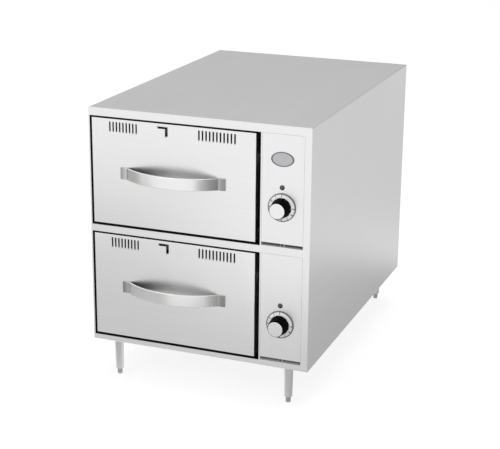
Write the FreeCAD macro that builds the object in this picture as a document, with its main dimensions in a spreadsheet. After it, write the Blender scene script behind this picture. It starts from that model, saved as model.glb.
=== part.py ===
import FreeCAD, Part
import math
import os
import re
import Sketcher

# Countertop warming drawer cabinet: two drawers one above the other, each holding one full-size
# food pan lengthwise, and a column of controls on the right.
# Millimetres. +X is the cabinet's right, +Y its back, +Z up. The origin is on the floor, under
# the middle of the cabinet with its handles.

# Driving sizes: alias, value, meaning.
SIZES = (
    ("cabinet_width", 490, "outside width of the cabinet"),
    ("cabinet_depth", 716, "front face to back face"),
    ("opening_height", 234.5, "height of one drawer opening"),
    ("bottom_rail", 14.5, "face frame below the lower drawer"),
    ("middle_rail", 17, "face frame between the drawers"),
    ("top_rail", 17.5, "face frame above the upper drawer"),
    ("left_stile", 4, "face frame left of the drawers"),
    ("mullion", 3.5, "face frame between a drawer and its control panel"),
    ("right_stile", 14.5, "face frame right of the control panels"),
    ("face_width", 365.5, "drawer face"),
    ("face_gap", 3.5, "gap round a drawer face at its left, top and bottom"),
    ("strip_gap", 9.5, "wide gap at the right of a drawer face"),
    ("sheet_gauge", 1.2, "sheet of the cabinet and the drawer front"),
    ("bend_radius", 2.5, "outside radius of the wrapper's folds"),
    ("frame_return", 20, "depth of the returns round the face frame's windows"),
    ("fold_radius", 5, "outside radius of the face frame's lower fold"),
    ("fold_return", 10, "face frame's lower fold, front to back"),
    ("tray_height", 12, "upturned edge of the base"),
    ("back_flange", 14, "flange of the wrapper behind which the back is screwed"),
    ("back_screw_radius", 2, "shank of the back's screws"),
    ("back_screw_length", 3.6, "shank of the back's screws"),
    ("back_screw_head", 4, "head radius of the back's screws"),
    ("back_screw_inset", 7.5, "screw line from the cabinet's side"),
    ("screw_head_height", 2.2, "height of a pan head"),
    ("screw_play", 0.05, "radial play of a screw in its hole"),
    ("leg_height", 84, "floor to the underside of the cabinet"),
    ("leg_inset", 48, "leg axis from the cabinet's side"),
    ("leg_setback", 25, "leg axis from the front and the back"),
    ("leg_radius", 9.5, "leg tube at its top"),
    ("leg_tip_radius", 8.6, "leg tube at its lower end"),
    ("collar_radius", 13, "collar under the cabinet"),
    ("collar_height", 4, "collar under the cabinet"),
    ("collar_edge", 1, "slope under the collar"),
    ("foot_radius", 5.4, "screw foot"),
    ("foot_height", 14, "screw foot below the leg"),
    ("foot_round", 2.4, "rounded edge of the foot"),
    ("stud_radius", 4, "stud of the foot"),
    ("stud_length", 24, "stud of the foot inside the leg"),
    ("stud_play", 0.05, "radial play of the stud"),
    ("box_depth", 20, "depth of the hollow drawer front"),
    ("face_edge", 1, "rounded front edges of the drawer face"),
    ("vent_width", 3.4, "one vent slot"),
    ("vent_height", 22, "one vent slot"),
    ("vent_pitch", 7.5, "vent slot to vent slot"),
    ("vent_drop", 20.2, "middle of the vents below the opening's top"),
    ("left_vents", 9, "number of slots in the left group"),
    ("right_vents", 11, "number of slots in the right group"),
    ("left_vents_shift", 118.7, "first slot of the left group, left of the notch's middle"),
    ("right_vents_shift", 36.8, "first slot of the right group, right of the notch's middle"),
    ("notch_place", 164.2, "middle of the shutter's notch from the opening's left edge"),
    ("notch_width", 25, "notch for the shutter's tab"),
    ("notch_height", 22, "notch for the shutter's tab"),
    ("tab_width", 19, "shutter's finger tab"),
    ("tab_height", 17, "shutter's finger tab"),
    ("tab_gap", 0.6, "notch's left and lower edges to the tab"),
    ("tab_window", 4.4, "opening in the shutter at the right of the tab and above it"),
    ("tab_reach", 2.5, "tab beyond the drawer face"),
    ("shutter_gauge", 1, "sheet of the vent shutter"),
    ("shutter_gap", 0.3, "play of the shutter in its guides"),
    ("shutter_border", 2.5, "shutter above and below its slots"),
    ("shutter_end", 8, "shutter beyond its outermost slots"),
    ("guide_end", 6, "guide beyond the shutter's ends"),
    ("guide_lip", 4, "lip of a guide over the shutter"),
    ("handle_width", 234, "handle end to end"),
    ("handle_height", 25, "width of the handle's strip"),
    ("handle_gauge", 3, "thickness of the handle's strip"),
    ("handle_reach", 38, "handle's strip beyond the drawer face, at its middle"),
    ("handle_edge", 0.8, "rounded long edges of the handle's strip"),
    ("handle_foot", 12, "flat foot at each end of the handle"),
    ("handle_bend", 8, "inside bend from foot to bow, at mid-thickness"),
    ("rail_rise", 160, "slide channel above the opening's lower edge"),
    ("rail_gauge", 1.5, "sheet of the slides and the pan carrier"),
    ("rail_depth", 14, "width of the slide channel's flanges"),
    ("rail_height", 26, "height of the slide channel"),
    ("rail_length", 640, "length of the slide channel"),
    ("rail_gap", 1.5, "slide channel to pan carrier, and to the drawer front"),
    ("roller_radius", 9, "steel roller"),
    ("roller_width", 9, "steel roller"),
    ("roller_setback", 12, "roller's axis from the end that carries it"),
    ("roller_play", 0.3, "roller to its track, and beside its track"),
    ("pin_radius", 3, "roller's pin"),
    ("pin_play", 0.06, "radial play of a roller on its pin"),
    ("pin_head", 5, "radius of the pin's head"),
    ("pin_head_height", 1, "thickness of the pin's head"),
    ("carrier_length", 575, "pan carrier behind the drawer front"),
    ("web_drop", 17, "carrier's side webs"),
    ("front_plate", 30, "carrier's plate behind the drawer front"),
    ("deck_gap", 4, "carrier's deck to the cavity's walls"),
    ("pan_start", 44, "drawer face to the pan's rim"),
    ("pan_length", 530, "pan over its rim"),
    ("pan_width", 325, "pan over its rim"),
    ("pan_depth", 150, "pan below its rim"),
    ("pan_rim", 10, "width of the pan's flat rim"),
    ("pan_gauge", 1, "sheet of the pan"),
    ("pan_corner", 45, "corner radius of the pan's well at the rim"),
    ("pan_taper", 11, "how far the pan's walls lean in"),
    ("pan_shoulder", 16, "stacking collar below the pan's rim"),
    ("pan_step", 3, "step of the pan's wall under its stacking collar"),
    ("pan_floor_round", 18, "outside radius between the pan's walls and its floor"),
    ("pan_play", 0.8, "pan's well in the carrier"),
    ("element_radius", 4, "tubular heating element"),
    ("element_rise", 6, "element above the opening's lower edge"),
    ("element_bend", 70, "half of the hairpin's width"),
    ("element_front", 170, "drawer face to the middle of the hairpin's bend"),
    ("element_length", 400, "straight legs of the hairpin"),
    ("clip_width", 14, "strip that carries the element"),
    ("clip_end", 4, "strip beyond the element's tube"),
    ("panel_gap", 0.3, "seam round a control panel"),
    ("panel_edge", 0.9, "rounded lower edge of a control panel"),
    ("lip_depth", 8, "fold along the lower edge of a control panel"),
    ("slot_height", 6.5, "air slot under a control panel"),
    ("lug_width", 9, "screw lug in the middle of the air slot"),
    ("panel_screw_head", 2.6, "head radius of the panel's screw"),
    ("panel_screw_radius", 1.5, "shank of the panel's screw"),
    ("panel_screw_length", 4.5, "shank of the panel's screw"),
    ("knob_inset", 1.2, "knob's axis left of the control panel's middle"),
    ("knob_rise", 84, "knob's axis above the opening's lower edge"),
    ("dial_radius", 29.5, "skirt behind the knob"),
    ("dial_gauge", 1.4, "thickness of the skirt"),
    ("dial_gap", 0.8, "control panel to skirt"),
    ("dial_dish", 1.6, "how far the skirt's middle stands out"),
    ("knob_radius", 21, "knob at its base"),
    ("knob_nose", 17, "knob at its front"),
    ("nose_round", 0.8, "rounded edge of the knob's front"),
    ("knob_length", 26, "knob, front to back"),
    ("knob_flutes", 12, "grooves round the knob"),
    ("flute_radius", 4, "groove of the knob"),
    ("flute_depth", 1.6, "how deep the grooves cut the knob's base"),
    ("cap_radius", 15.8, "bright disc on the knob"),
    ("cap_edge", 0.5, "chamfer round the disc"),
    ("cap_gauge", 1.6, "thickness of the disc"),
    ("cap_seat", 0.8, "recess that holds the disc"),
    ("cap_play", 0.1, "radial play of the disc in its recess"),
    ("shaft_radius", 3, "control shaft"),
    ("shaft_flat", 1, "flat cut off the control shaft"),
    ("shaft_play", 0.05, "radial play of the control shaft"),
    ("shaft_reach", 15, "shaft inside the knob, and inside the thermostat"),
    ("bore_spare", 1, "bore beyond the end of the shaft"),
    ("thermostat_width", 36, "thermostat body, across and up"),
    ("thermostat_depth", 30, "thermostat body, front to back"),
    ("bushing_radius", 5.5, "thermostat's neck in the panel"),
    ("lamp_rise", 41, "pilot lamp above the knob's axis"),
    ("lamp_radius", 4.2, "pilot lamp's lens"),
    ("lamp_reach", 3.8, "lens beyond the panel"),
    ("bezel_width", 1.1, "ring round the lens"),
    ("bezel_gauge", 0.8, "ring round the lens"),
    ("lamp_depth", 12, "lamp body behind the panel"),
    ("plate_width", 48, "oval plate on the upper panel"),
    ("plate_height", 30, "oval plate on the upper panel"),
    ("plate_gauge", 0.8, "thickness of the oval plate"),
    ("plate_rim", 1.8, "width of the plate's raised rim"),
    ("plate_rim_rise", 0.6, "rim above the plate"),
    ("plate_rise", 183.5, "oval plate above the opening's lower edge"),
    ("gland_place", 45, "cord inlet from the cabinet's right side"),
    ("gland_rise", 46, "cord inlet above the cabinet's underside"),
    ("gland_flange", 14, "radius of the inlet's flange"),
    ("gland_radius", 9, "radius of the inlet's barrel"),
    ("gland_bore", 4.5, "radius of the inlet's bore"),
    ("gland_play", 0.1, "radial play of the barrel in the back"),
    ("gland_taper", 1.5, "how far the barrel narrows behind the cabinet"),
    ("gland_inside", 3.6, "barrel inside the back's outer face"),
    ("gland_reach", 12, "inlet behind the cabinet"),
    ("gland_flange_height", 3, "thickness of the inlet's flange"),
)

# Places and lengths that follow from the driving sizes.
PLACES = (
    ("side", "cabinet_width / 2", "cabinet's side from the middle"),
    ("cabinet_height", "bottom_rail + 2 * opening_height + middle_rail + top_rail", "outside height"),
    ("cabinet_top", "leg_height + cabinet_height", "top face above the floor"),
    ("front", "(handle_reach - cabinet_depth - gland_reach) / 2", "front face, from the origin"),
    ("back", "front + cabinet_depth", "back face, from the origin"),
    ("opening_width", "face_gap + face_width + strip_gap", "one drawer opening"),
    ("opening_left", "left_stile - side", "left edge of the drawer openings"),
    ("lower_level", "leg_height + bottom_rail", "lower edge of the lower opening"),
    ("upper_level", "lower_level + opening_height + middle_rail", "lower edge of the upper opening"),
    ("shelf_level", "upper_level - middle_rail / 2 - sheet_gauge / 2", "underside of the shelf"),
    ("panel_left", "opening_width + mullion", "left edge of a control window, from opening_left"),
    ("panel_right", "cabinet_width - left_stile - right_stile", "right edge, from opening_left"),
    ("cavity_left", "sheet_gauge - left_stile", "drawer cavity's left wall, from opening_left"),
    ("cavity_middle", "(cavity_left + opening_width) / 2", "middle of the cavity"),
    ("face_middle", "face_gap + face_width / 2", "middle of the drawer face"),
    ("face_height", "opening_height - 2 * face_gap", "drawer face"),
    ("vent_level", "opening_height - vent_drop", "middle of the vents"),
    ("shutter_front", "sheet_gauge + shutter_gap", "shutter behind the drawer face"),
    ("shutter_back", "shutter_front + shutter_gauge", "shutter's back face"),
    ("shutter_half", "vent_height / 2 + shutter_border", "half of the shutter's height"),
    (
        "shutter_left",
        "notch_place - left_vents_shift - vent_width / 2 - shutter_end",
        "left end of the shutter",
    ),
    (
        "shutter_right",
        "notch_place + right_vents_shift + (right_vents - 1) * vent_pitch + vent_width / 2 + shutter_end",
        "right end of the shutter",
    ),
    ("tab_left", "notch_place - notch_width / 2 + tab_gap", "left edge of the finger tab"),
    ("tab_foot", "vent_level - notch_height / 2 + tab_gap", "lower edge of the finger tab"),
    ("rail_start", "box_depth + rail_gap", "front end of the slide channels"),
    ("axle_rise", "rail_gauge + roller_play + roller_radius", "roller's axis in its channel"),
    ("deck_rise", "axle_rise + roller_radius + roller_play", "carrier's deck above the channel's foot"),
    ("deck_level", "rail_rise + deck_rise", "underside of the carrier's deck"),
    ("web_place", "rail_depth + rail_gap", "carrier's web from the cavity's wall"),
    ("carrier_back", "box_depth + carrier_length", "back end of the carrier"),
    ("well_width", "pan_width - 2 * pan_rim", "pan's well at the rim"),
    ("well_length", "pan_length - 2 * pan_rim", "pan's well at the rim"),
    ("pan_middle", "pan_start + pan_length / 2", "middle of the pan behind the drawer face"),
    ("bow_half", "handle_width / 2 - handle_foot", "half of the handle's bow"),
    ("bow_rise", "handle_reach - handle_gauge", "bow's height at mid-thickness"),
    (
        "bow_radius",
        "(bow_half ^ 2 + bow_rise ^ 2 - 2 * bow_rise * handle_bend) / (2 * bow_rise)",
        "radius of the bow that meets both bends",
    ),
    ("bow_share", "handle_bend / (bow_radius + handle_bend)", "where bend and bow meet"),
    ("bow_meet", "bow_half * (1 - bow_share)", "that place along the handle"),
    (
        "bow_lift",
        "handle_bend + bow_share * (bow_rise - bow_radius - handle_bend)",
        "that place away from the drawer face",
    ),
    ("knob_place", "(panel_left + panel_right) / 2 - knob_inset", "knob's axis"),
    ("lug_front", "lip_depth - sheet_gauge", "screw lug's front face behind the panel's face"),
    ("lug_screw_rise", "slot_height / 2", "lug's screw above the opening's lower edge"),
    ("knob_back", "dial_gap + dial_gauge + dial_dish", "knob's back face from the panel"),
)

document = FreeCAD.newDocument("WarmingDrawers")
owners = {}

# Two places closer than this are the same place.
NEAR = 0.001


def fill_sheet(name, rows):
    """Write one spreadsheet: a note, a value or formula, and the value's alias."""
    sheet = document.addObject("Spreadsheet::Sheet", name)
    for row, (alias, content, note) in enumerate(rows, 1):
        text = "=" + formula(content) if isinstance(content, str) else str(content)
        sheet.set(f"A{row}", note)
        sheet.set(f"B{row}", text)
        sheet.setAlias(f"B{row}", alias)
        owners[alias] = name
    return sheet


def formula(text):
    """Put the sheet's name before each alias of a formula."""
    def with_sheet(word):
        alias = word.group()
        return f"{owners[alias]}.{alias}" if alias in owners else alias
    return re.sub(r"[a-z_]+", with_sheet, text)


sheet = fill_sheet("Sizes", SIZES)
fill_sheet("Places", PLACES)
document.recompute()
subparts = []


def value(text):
    """The present value of a formula."""
    return float(sheet.evalExpression(formula(text)))


def bind(thing, name, text):
    """Tie one property of an object to the sheets."""
    thing.setExpression(name, formula(text))


def place(thing, x="0", y="0", z="0"):
    """Tie an object's position to the sheets."""
    for axis, text in zip("xyz", (x, y, z)):
        bind(thing, f"Placement.Base.{axis}", text)


def new_body(label):
    """Start one sub-part."""
    body = document.addObject("PartDesign::Body", label)
    body.Label = label
    subparts.append(body)
    return body


def origin_part(body, role):
    """One of a body's own planes or axes."""
    return next(item for item in body.Origin.OriginFeatures if item.Role == role)


def new_sketch(body, plane, offset="0"):
    """A sketch on the XY, XZ or YZ plane, moved along +Z, +Y or +X by offset."""
    sketch = body.newObject("Sketcher::SketchObject", f"{body.Name}_sketch")
    sketch.AttachmentSupport = [(origin_part(body, f"{plane}_Plane"), "")]
    sketch.MapMode = "FlatFace"
    direction = "-1" if plane == "XZ" else "1"
    bind(sketch, ".AttachmentOffset.Base.z", f"{direction} * ({offset})")
    return sketch


def fix(sketch, kind, geometry, point, text):
    """Dimension one coordinate of a point from the sketch's origin."""
    number = sketch.addConstraint(Sketcher.Constraint(kind, -1, 1, geometry, point, value(text)))
    bind(sketch, f"Constraints[{number}]", text)


def fix_point(sketch, geometry, point, x, y):
    """Dimension both coordinates of a point from the sketch's origin."""
    fix(sketch, "DistanceX", geometry, point, x)
    fix(sketch, "DistanceY", geometry, point, y)


def set_radius(sketch, geometry, radius):
    """Dimension the radius of a circle or an arc."""
    number = sketch.addConstraint(Sketcher.Constraint("Radius", geometry, value(radius)))
    bind(sketch, f"Constraints[{number}]", radius)


def vector(x, y):
    """A sketch point at the present values of two formulas."""
    return FreeCAD.Vector(value(x), value(y), 0)


def add_circle(sketch, x, y, radius):
    """A circle dimensioned from the sketch's origin."""
    circle = Part.Circle(vector(x, y), FreeCAD.Vector(0, 0, 1), value(radius))
    geometry = sketch.addGeometry(circle, False)
    fix_point(sketch, geometry, 3, x, y)
    set_radius(sketch, geometry, radius)


def add_arc(sketch, start, end, radius, turn):
    """An arc that turns left (turn 1) or right (turn -1); gives its index and its two ends."""
    chord = end - start
    size = value(radius)
    height = math.sqrt(max(size ** 2 - (chord.Length / 2) ** 2, 0))
    left = FreeCAD.Vector(-chord.y, chord.x, 0) / chord.Length
    centre = (start + end) / 2 + left * height * turn
    first, last = (start, end) if turn > 0 else (end, start)
    angles = [math.atan2(point.y - centre.y, point.x - centre.x) for point in (first, last)]
    circle = Part.Circle(centre, FreeCAD.Vector(0, 0, 1), size)
    geometry = sketch.addGeometry(Part.ArcOfCircle(circle, *angles), False)
    return geometry, (1, 2) if turn > 0 else (2, 1)


def add_chain(sketch, corners, arcs=None, closed=True):
    """Lines between dimensioned corners; arcs maps a corner's number to the radius and turn
    of the arc that leaves it."""
    arcs = arcs or {}
    points = [vector(*corner) for corner in corners]
    count = len(corners) if closed else len(corners) - 1
    ends = []
    for number in range(count):
        start, end = points[number], points[(number + 1) % len(points)]
        if number in arcs:
            radius, turn = arcs[number]
            geometry, tips = add_arc(sketch, start, end, radius, turn)
            set_radius(sketch, geometry, radius)
        else:
            geometry, tips = sketch.addGeometry(Part.LineSegment(start, end), False), (1, 2)
        ends.append((geometry, tips))
    for number, (geometry, tips) in enumerate(ends):
        fix_point(sketch, geometry, tips[0], *corners[number])
        if closed or number < count - 1:
            following, next_tips = ends[(number + 1) % count]
            sketch.addConstraint(
                Sketcher.Constraint("Coincident", geometry, tips[1], following, next_tips[0])
            )
    if not closed:
        geometry, tips = ends[-1]
        fix_point(sketch, geometry, tips[1], *corners[-1])


def add_rectangle(sketch, left, bottom, right, top):
    """A rectangle between four formulas."""
    add_chain(sketch, ((left, bottom), (right, bottom), (right, top), (left, top)))


def add_rounded(sketch, half_width, half_height, radius):
    """A rectangle with round corners about the sketch's origin."""
    inner_x = f"{half_width} - ({radius})"
    inner_y = f"{half_height} - ({radius})"
    corners = (
        (f"-({inner_x})", f"-({half_height})"),
        (inner_x, f"-({half_height})"),
        (half_width, f"-({inner_y})"),
        (half_width, inner_y),
        (inner_x, half_height),
        (f"-({inner_x})", half_height),
        (f"-({half_width})", inner_y),
        (f"-({half_width})", f"-({inner_y})"),
    )
    add_chain(sketch, corners, {number: (radius, 1) for number in (1, 3, 5, 7)})


def add_slot(sketch, x, y, width, height):
    """An upright slot with round ends, about a point."""
    left, right = f"{x} - {width} / 2", f"{x} + {width} / 2"
    low, high = f"{y} - ({height} - {width}) / 2", f"{y} + ({height} - {width}) / 2"
    corners = [vector(*corner) for corner in ((left, low), (right, low), (right, high), (left, high))]
    half = f"{width} / 2"
    foot, _ = add_arc(sketch, corners[0], corners[1], half, 1)
    right_line = sketch.addGeometry(Part.LineSegment(corners[1], corners[2]), False)
    head, _ = add_arc(sketch, corners[2], corners[3], half, 1)
    left_line = sketch.addGeometry(Part.LineSegment(corners[3], corners[0]), False)
    for first, second in ((foot, right_line), (right_line, head), (head, left_line), (left_line, foot)):
        sketch.addConstraint(Sketcher.Constraint("Tangent", first, 2, second, 1))
    sketch.addConstraint(Sketcher.Constraint("Equal", foot, head))
    fix_point(sketch, foot, 3, x, low)
    fix_point(sketch, head, 3, x, high)
    set_radius(sketch, foot, half)


def pad(body, sketch, length, reverse=False):
    """Extrude a sketch. An XZ sketch's own direction is -Y, so reverse sends it inwards, +Y."""
    feature = body.newObject("PartDesign::Pad", f"{body.Name}_pad")
    feature.Profile = sketch
    feature.Reversed = reverse
    bind(feature, "Length", length)
    return feature


def pocket(body, sketch, length, reverse=False):
    """Cut a sketch's outline away. An XZ sketch cuts towards +Y, or towards -Y reversed."""
    feature = body.newObject("PartDesign::Pocket", f"{body.Name}_pocket")
    feature.Profile = sketch
    feature.Reversed = reverse
    bind(feature, "Length", length)
    return feature


def revolve(body, sketch, axis="V_Axis"):
    """Turn a sketch about one of its axes."""
    feature = body.newObject("PartDesign::Revolution", f"{body.Name}_revolution")
    feature.Profile = sketch
    feature.ReferenceAxis = (sketch, [axis])
    feature.Angle = 360
    return feature


def repeat(body, feature, spacing, count):
    """Repeat a feature along +X."""
    pattern = body.newObject("PartDesign::LinearPattern", f"{body.Name}_row")
    pattern.Originals = [feature]
    pattern.Direction = (origin_part(body, "X_Axis"), [""])
    pattern.Mode = "Spacing"
    bind(pattern, "Offset", spacing)
    bind(pattern, "Occurrences", count)
    body.Tip = pattern
    return pattern


def sweep(body, path, profile):
    """Carry a profile along a path of lines and tangent arcs."""
    feature = body.newObject("PartDesign::AdditivePipe", f"{body.Name}_pipe")
    feature.Profile = profile
    feature.Spine = path
    return feature


def fillet(body, radius, choose):
    """Round the edges of the body so far that the test picks."""
    document.recompute()
    base = body.Tip
    names = [f"Edge{number}" for number, edge in enumerate(base.Shape.Edges, 1) if choose(edge)]
    feature = body.newObject("PartDesign::Fillet", f"{body.Name}_fillet")
    feature.Base = (base, names)
    bind(feature, "Radius", radius)
    return feature


# ---------------------------------------------------------------- cabinet shell


def cabinet_outline(sketch, foot="leg_height"):
    """The cabinet's front outline from the level of its foot: square below, folded above."""
    corners = (
        ("-side", foot),
        ("side", foot),
        ("side", "cabinet_top - bend_radius"),
        ("side - bend_radius", "cabinet_top"),
        ("bend_radius - side", "cabinet_top"),
        ("-side", "cabinet_top - bend_radius"),
    )
    add_chain(sketch, corners, {2: ("bend_radius", 1), 4: ("bend_radius", 1)})


def make_wrapper():
    """One sheet folded over the top and both sides, with a flange at the back and its lower
    front corners cut to the face frame's fold."""
    body = new_body("wrapper")
    inner = "side - sheet_gauge"
    bend = "bend_radius - sheet_gauge"
    sketch = new_sketch(body, "XZ", "front + sheet_gauge")
    corners = (
        ("-side", "leg_height"),
        (f"-({inner})", "leg_height"),
        (f"-({inner})", "cabinet_top - bend_radius"),
        ("bend_radius - side", "cabinet_top - sheet_gauge"),
        ("side - bend_radius", "cabinet_top - sheet_gauge"),
        (inner, "cabinet_top - bend_radius"),
        (inner, "leg_height"),
        ("side", "leg_height"),
        ("side", "cabinet_top - bend_radius"),
        ("side - bend_radius", "cabinet_top"),
        ("bend_radius - side", "cabinet_top"),
        ("-side", "cabinet_top - bend_radius"),
    )
    arcs = {2: (bend, -1), 4: (bend, -1), 8: ("bend_radius", 1), 10: ("bend_radius", 1)}
    add_chain(sketch, corners, arcs)
    pad(body, sketch, "cabinet_depth - 2 * sheet_gauge", True)
    flange = new_sketch(body, "XZ", "back - 2 * sheet_gauge")
    reach = "side - back_flange"
    ring = (
        (f"-({inner})", "leg_height + tray_height"),
        (f"-({reach})", "leg_height + tray_height"),
        (f"-({reach})", "cabinet_top - back_flange"),
        (reach, "cabinet_top - back_flange"),
        (reach, "leg_height + tray_height"),
        (inner, "leg_height + tray_height"),
        (inner, "cabinet_top - bend_radius"),
        ("side - bend_radius", "cabinet_top - sheet_gauge"),
        ("bend_radius - side", "cabinet_top - sheet_gauge"),
        (f"-({inner})", "cabinet_top - bend_radius"),
    )
    add_chain(flange, ring, {6: (bend, 1), 8: (bend, 1)})
    pad(body, flange, "sheet_gauge", True)
    drill_back(body, "back - 2 * sheet_gauge")
    corner = new_sketch(body, "YZ", "-side")
    corners = (
        ("front", "leg_height"),
        ("front + fold_radius", "leg_height"),
        ("front", "leg_height + fold_radius"),
    )
    add_chain(corner, corners, {1: ("fold_radius", -1)})
    pocket(body, corner, "cabinet_width", True)


def back_screw_places():
    """Screws of the back: four down each side."""
    rows = ("0.08", "0.36", "0.64", "0.92")
    return [
        (f"{direction} * (side - back_screw_inset)", f"leg_height + {row} * cabinet_height")
        for direction in ("-1", "1")
        for row in rows
    ]


def drill_back(body, level):
    """Screw holes through the back or the wrapper's flange."""
    sketch = new_sketch(body, "XZ", level)
    for x, z in back_screw_places():
        add_circle(sketch, x, z, "back_screw_radius + screw_play")
    pocket(body, sketch, "sheet_gauge")


def frame_windows():
    """The face frame's windows: each drawer opening and each control window."""
    for level in ("lower_level", "upper_level"):
        top = f"{level} + opening_height"
        yield "opening_left", level, "opening_left + opening_width", top
        yield "opening_left + panel_left", level, "opening_left + panel_right", top


def make_front_frame():
    """Face frame folded under below between the cabinet's sides, with a return round each
    window, and a tongue that takes each panel's screw."""
    body = new_body("front_frame")
    sketch = new_sketch(body, "XZ", "front")
    cabinet_outline(sketch, "leg_height + fold_radius")
    returns = new_sketch(body, "XZ", "front + sheet_gauge")
    for left, bottom, right, top in frame_windows():
        add_rectangle(sketch, left, bottom, right, top)
        add_rectangle(returns, left, bottom, right, top)
        add_rectangle(
            returns,
            f"{left} - sheet_gauge",
            f"{bottom} - sheet_gauge",
            f"{right} + sheet_gauge",
            f"{top} + sheet_gauge",
        )
    pad(body, sketch, "sheet_gauge", True)
    pad(body, returns, "frame_return", True)
    fold = new_sketch(body, "YZ", "-side")
    corners = (
        ("front", "leg_height + fold_radius"),
        ("front + fold_radius", "leg_height"),
        ("front + fold_return", "leg_height"),
        ("front + fold_return", "leg_height + sheet_gauge"),
        ("front + fold_radius", "leg_height + sheet_gauge"),
        ("front + sheet_gauge", "leg_height + fold_radius"),
    )
    add_chain(fold, corners, {0: ("fold_radius", 1), 4: ("fold_radius - sheet_gauge", -1)})
    pad(body, fold, "cabinet_width")
    notches = new_sketch(body, "XZ", "front + sheet_gauge")
    top = "leg_height + fold_radius"
    add_rectangle(notches, "-side", "leg_height", "sheet_gauge - side", top)
    add_rectangle(notches, "side - sheet_gauge", "leg_height", "side", top)
    pocket(body, notches, "fold_return")
    middle, half = "opening_left + knob_place", "lug_width / 2"
    for level in ("lower_level", "upper_level"):
        tongue = new_sketch(body, "XZ", "front + lip_depth")
        top = f"{level} + slot_height - panel_gap"
        add_rectangle(tongue, f"{middle} - {half}", f"{level} - sheet_gauge", f"{middle} + {half}", top)
        pad(body, tongue, "sheet_gauge", True)
        hole = new_sketch(body, "XZ", "front + lip_depth")
        add_circle(hole, middle, f"{level} + lug_screw_rise", "panel_screw_radius + screw_play")
        pocket(body, hole, "sheet_gauge")


def make_base_pan():
    """Bottom sheet behind the face frame's lower fold, with its edges turned up."""
    body = new_body("base_pan")
    left, right = "sheet_gauge - side", "side - sheet_gauge"
    near, far = "front + fold_return", "back - sheet_gauge"
    sketch = new_sketch(body, "XY", "leg_height")
    add_rectangle(sketch, left, near, right, far)
    pad(body, sketch, "tray_height")
    hollow = new_sketch(body, "XY", "leg_height + tray_height")
    edge = "sheet_gauge"
    add_rectangle(hollow, f"{left} + {edge}", f"{near} + {edge}", f"{right} - {edge}", f"{far} - {edge}")
    pocket(body, hollow, "tray_height - sheet_gauge")


def make_back_panel():
    """Flat back with the cord inlet's hole and the screw holes."""
    body = new_body("back_panel")
    sketch = new_sketch(body, "XZ", "back - sheet_gauge")
    cabinet_outline(sketch)
    add_circle(sketch, "side - gland_place", "leg_height + gland_rise", "gland_radius")
    pad(body, sketch, "sheet_gauge", True)
    drill_back(body, "back - sheet_gauge")


def make_back_screws():
    """Pan-head screws that hold the back to the wrapper's flange."""
    screws = []
    for number, (x, z) in enumerate(back_screw_places(), 1):
        head = document.addObject("Part::Cylinder", f"back_head_{number}")
        bind(head, "Radius", "back_screw_head")
        bind(head, "Height", "screw_head_height")
        shank = document.addObject("Part::Cylinder", f"back_shank_{number}")
        bind(shank, "Radius", "back_screw_radius")
        bind(shank, "Height", "back_screw_length")
        for piece, y in ((head, "back + screw_head_height"), (shank, "back")):
            place(piece, x, y, z)
            piece.Placement.Rotation = FreeCAD.Rotation(FreeCAD.Vector(1, 0, 0), 90)
        screw = document.addObject("Part::Fuse", f"back_screw_{number}")
        screw.Base = head
        screw.Tool = shank
        screws.append(screw)
    group = document.addObject("Part::Compound", "back_screws")
    group.Label = "back_screws"
    group.Links = screws
    subparts.append(group)


def make_divider():
    """Upright wall between the drawers and the controls."""
    body = new_body("divider")
    sketch = new_sketch(body, "XY", "leg_height + sheet_gauge")
    left = "opening_left + opening_width"
    near = "front + sheet_gauge + frame_return"
    add_rectangle(sketch, left, near, f"{left} + sheet_gauge", "back - 2 * sheet_gauge")
    pad(body, sketch, "cabinet_height - 2 * sheet_gauge")


def make_shelf():
    """Floor of the upper drawer's cavity."""
    body = new_body("middle_shelf")
    sketch = new_sketch(body, "XY", "shelf_level")
    right = "opening_left + opening_width"
    near = "front + sheet_gauge + frame_return"
    add_rectangle(sketch, "sheet_gauge - side", near, right, "back - 2 * sheet_gauge")
    pad(body, sketch, "sheet_gauge")


# ---------------------------------------------------------------- legs


def make_leg(label, x, y):
    """Tapered leg tube with a collar under the cabinet and a blind bore for the foot's stud."""
    body = new_body(f"leg_{label}")
    sketch = new_sketch(body, "XZ")
    bore = "stud_radius + stud_play"
    corners = (
        ("0", "leg_height"),
        ("0", "foot_height + stud_length + stud_radius"),
        (bore, "foot_height + stud_length"),
        (bore, "foot_height"),
        ("leg_tip_radius", "foot_height"),
        ("leg_radius", "leg_height - collar_height"),
        ("collar_radius", "leg_height - collar_height + collar_edge"),
        ("collar_radius", "leg_height"),
    )
    add_chain(sketch, corners)
    revolve(body, sketch)
    place(body, x, y)
    foot = new_body(f"foot_{label}")
    profile = new_sketch(foot, "XZ")
    flat = "foot_radius - foot_round"
    corners = (
        ("0", "0"),
        (flat, "0"),
        ("foot_radius", "foot_round"),
        ("foot_radius", "foot_height"),
        ("stud_radius", "foot_height"),
        ("stud_radius", "foot_height + stud_length"),
        ("0", "foot_height + stud_length"),
    )
    add_chain(profile, corners, {1: ("foot_round", 1)})
    revolve(foot, profile)
    place(foot, x, y)


def make_legs():
    """Four legs near the cabinet's corners."""
    for depth, y in (("front", "front + leg_setback"), ("back", "back - leg_setback")):
        for width, x in (("left", "leg_inset - side"), ("right", "side - leg_inset")):
            make_leg(f"{depth}_{width}", x, y)


# ---------------------------------------------------------------- slides


def add_pin(body, side, root, y, z, length):
    """Roller pin with a head, that stands along side * X from the plane x = root."""
    reverse = side == "-1"
    for radius, start, size in (
        ("pin_radius", root, length),
        ("pin_head", f"{root} + {side} * ({length})", "pin_head_height"),
    ):
        sketch = new_sketch(body, "YZ", start)
        add_circle(sketch, y, z, radius)
        pad(body, sketch, size, reverse)


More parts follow.
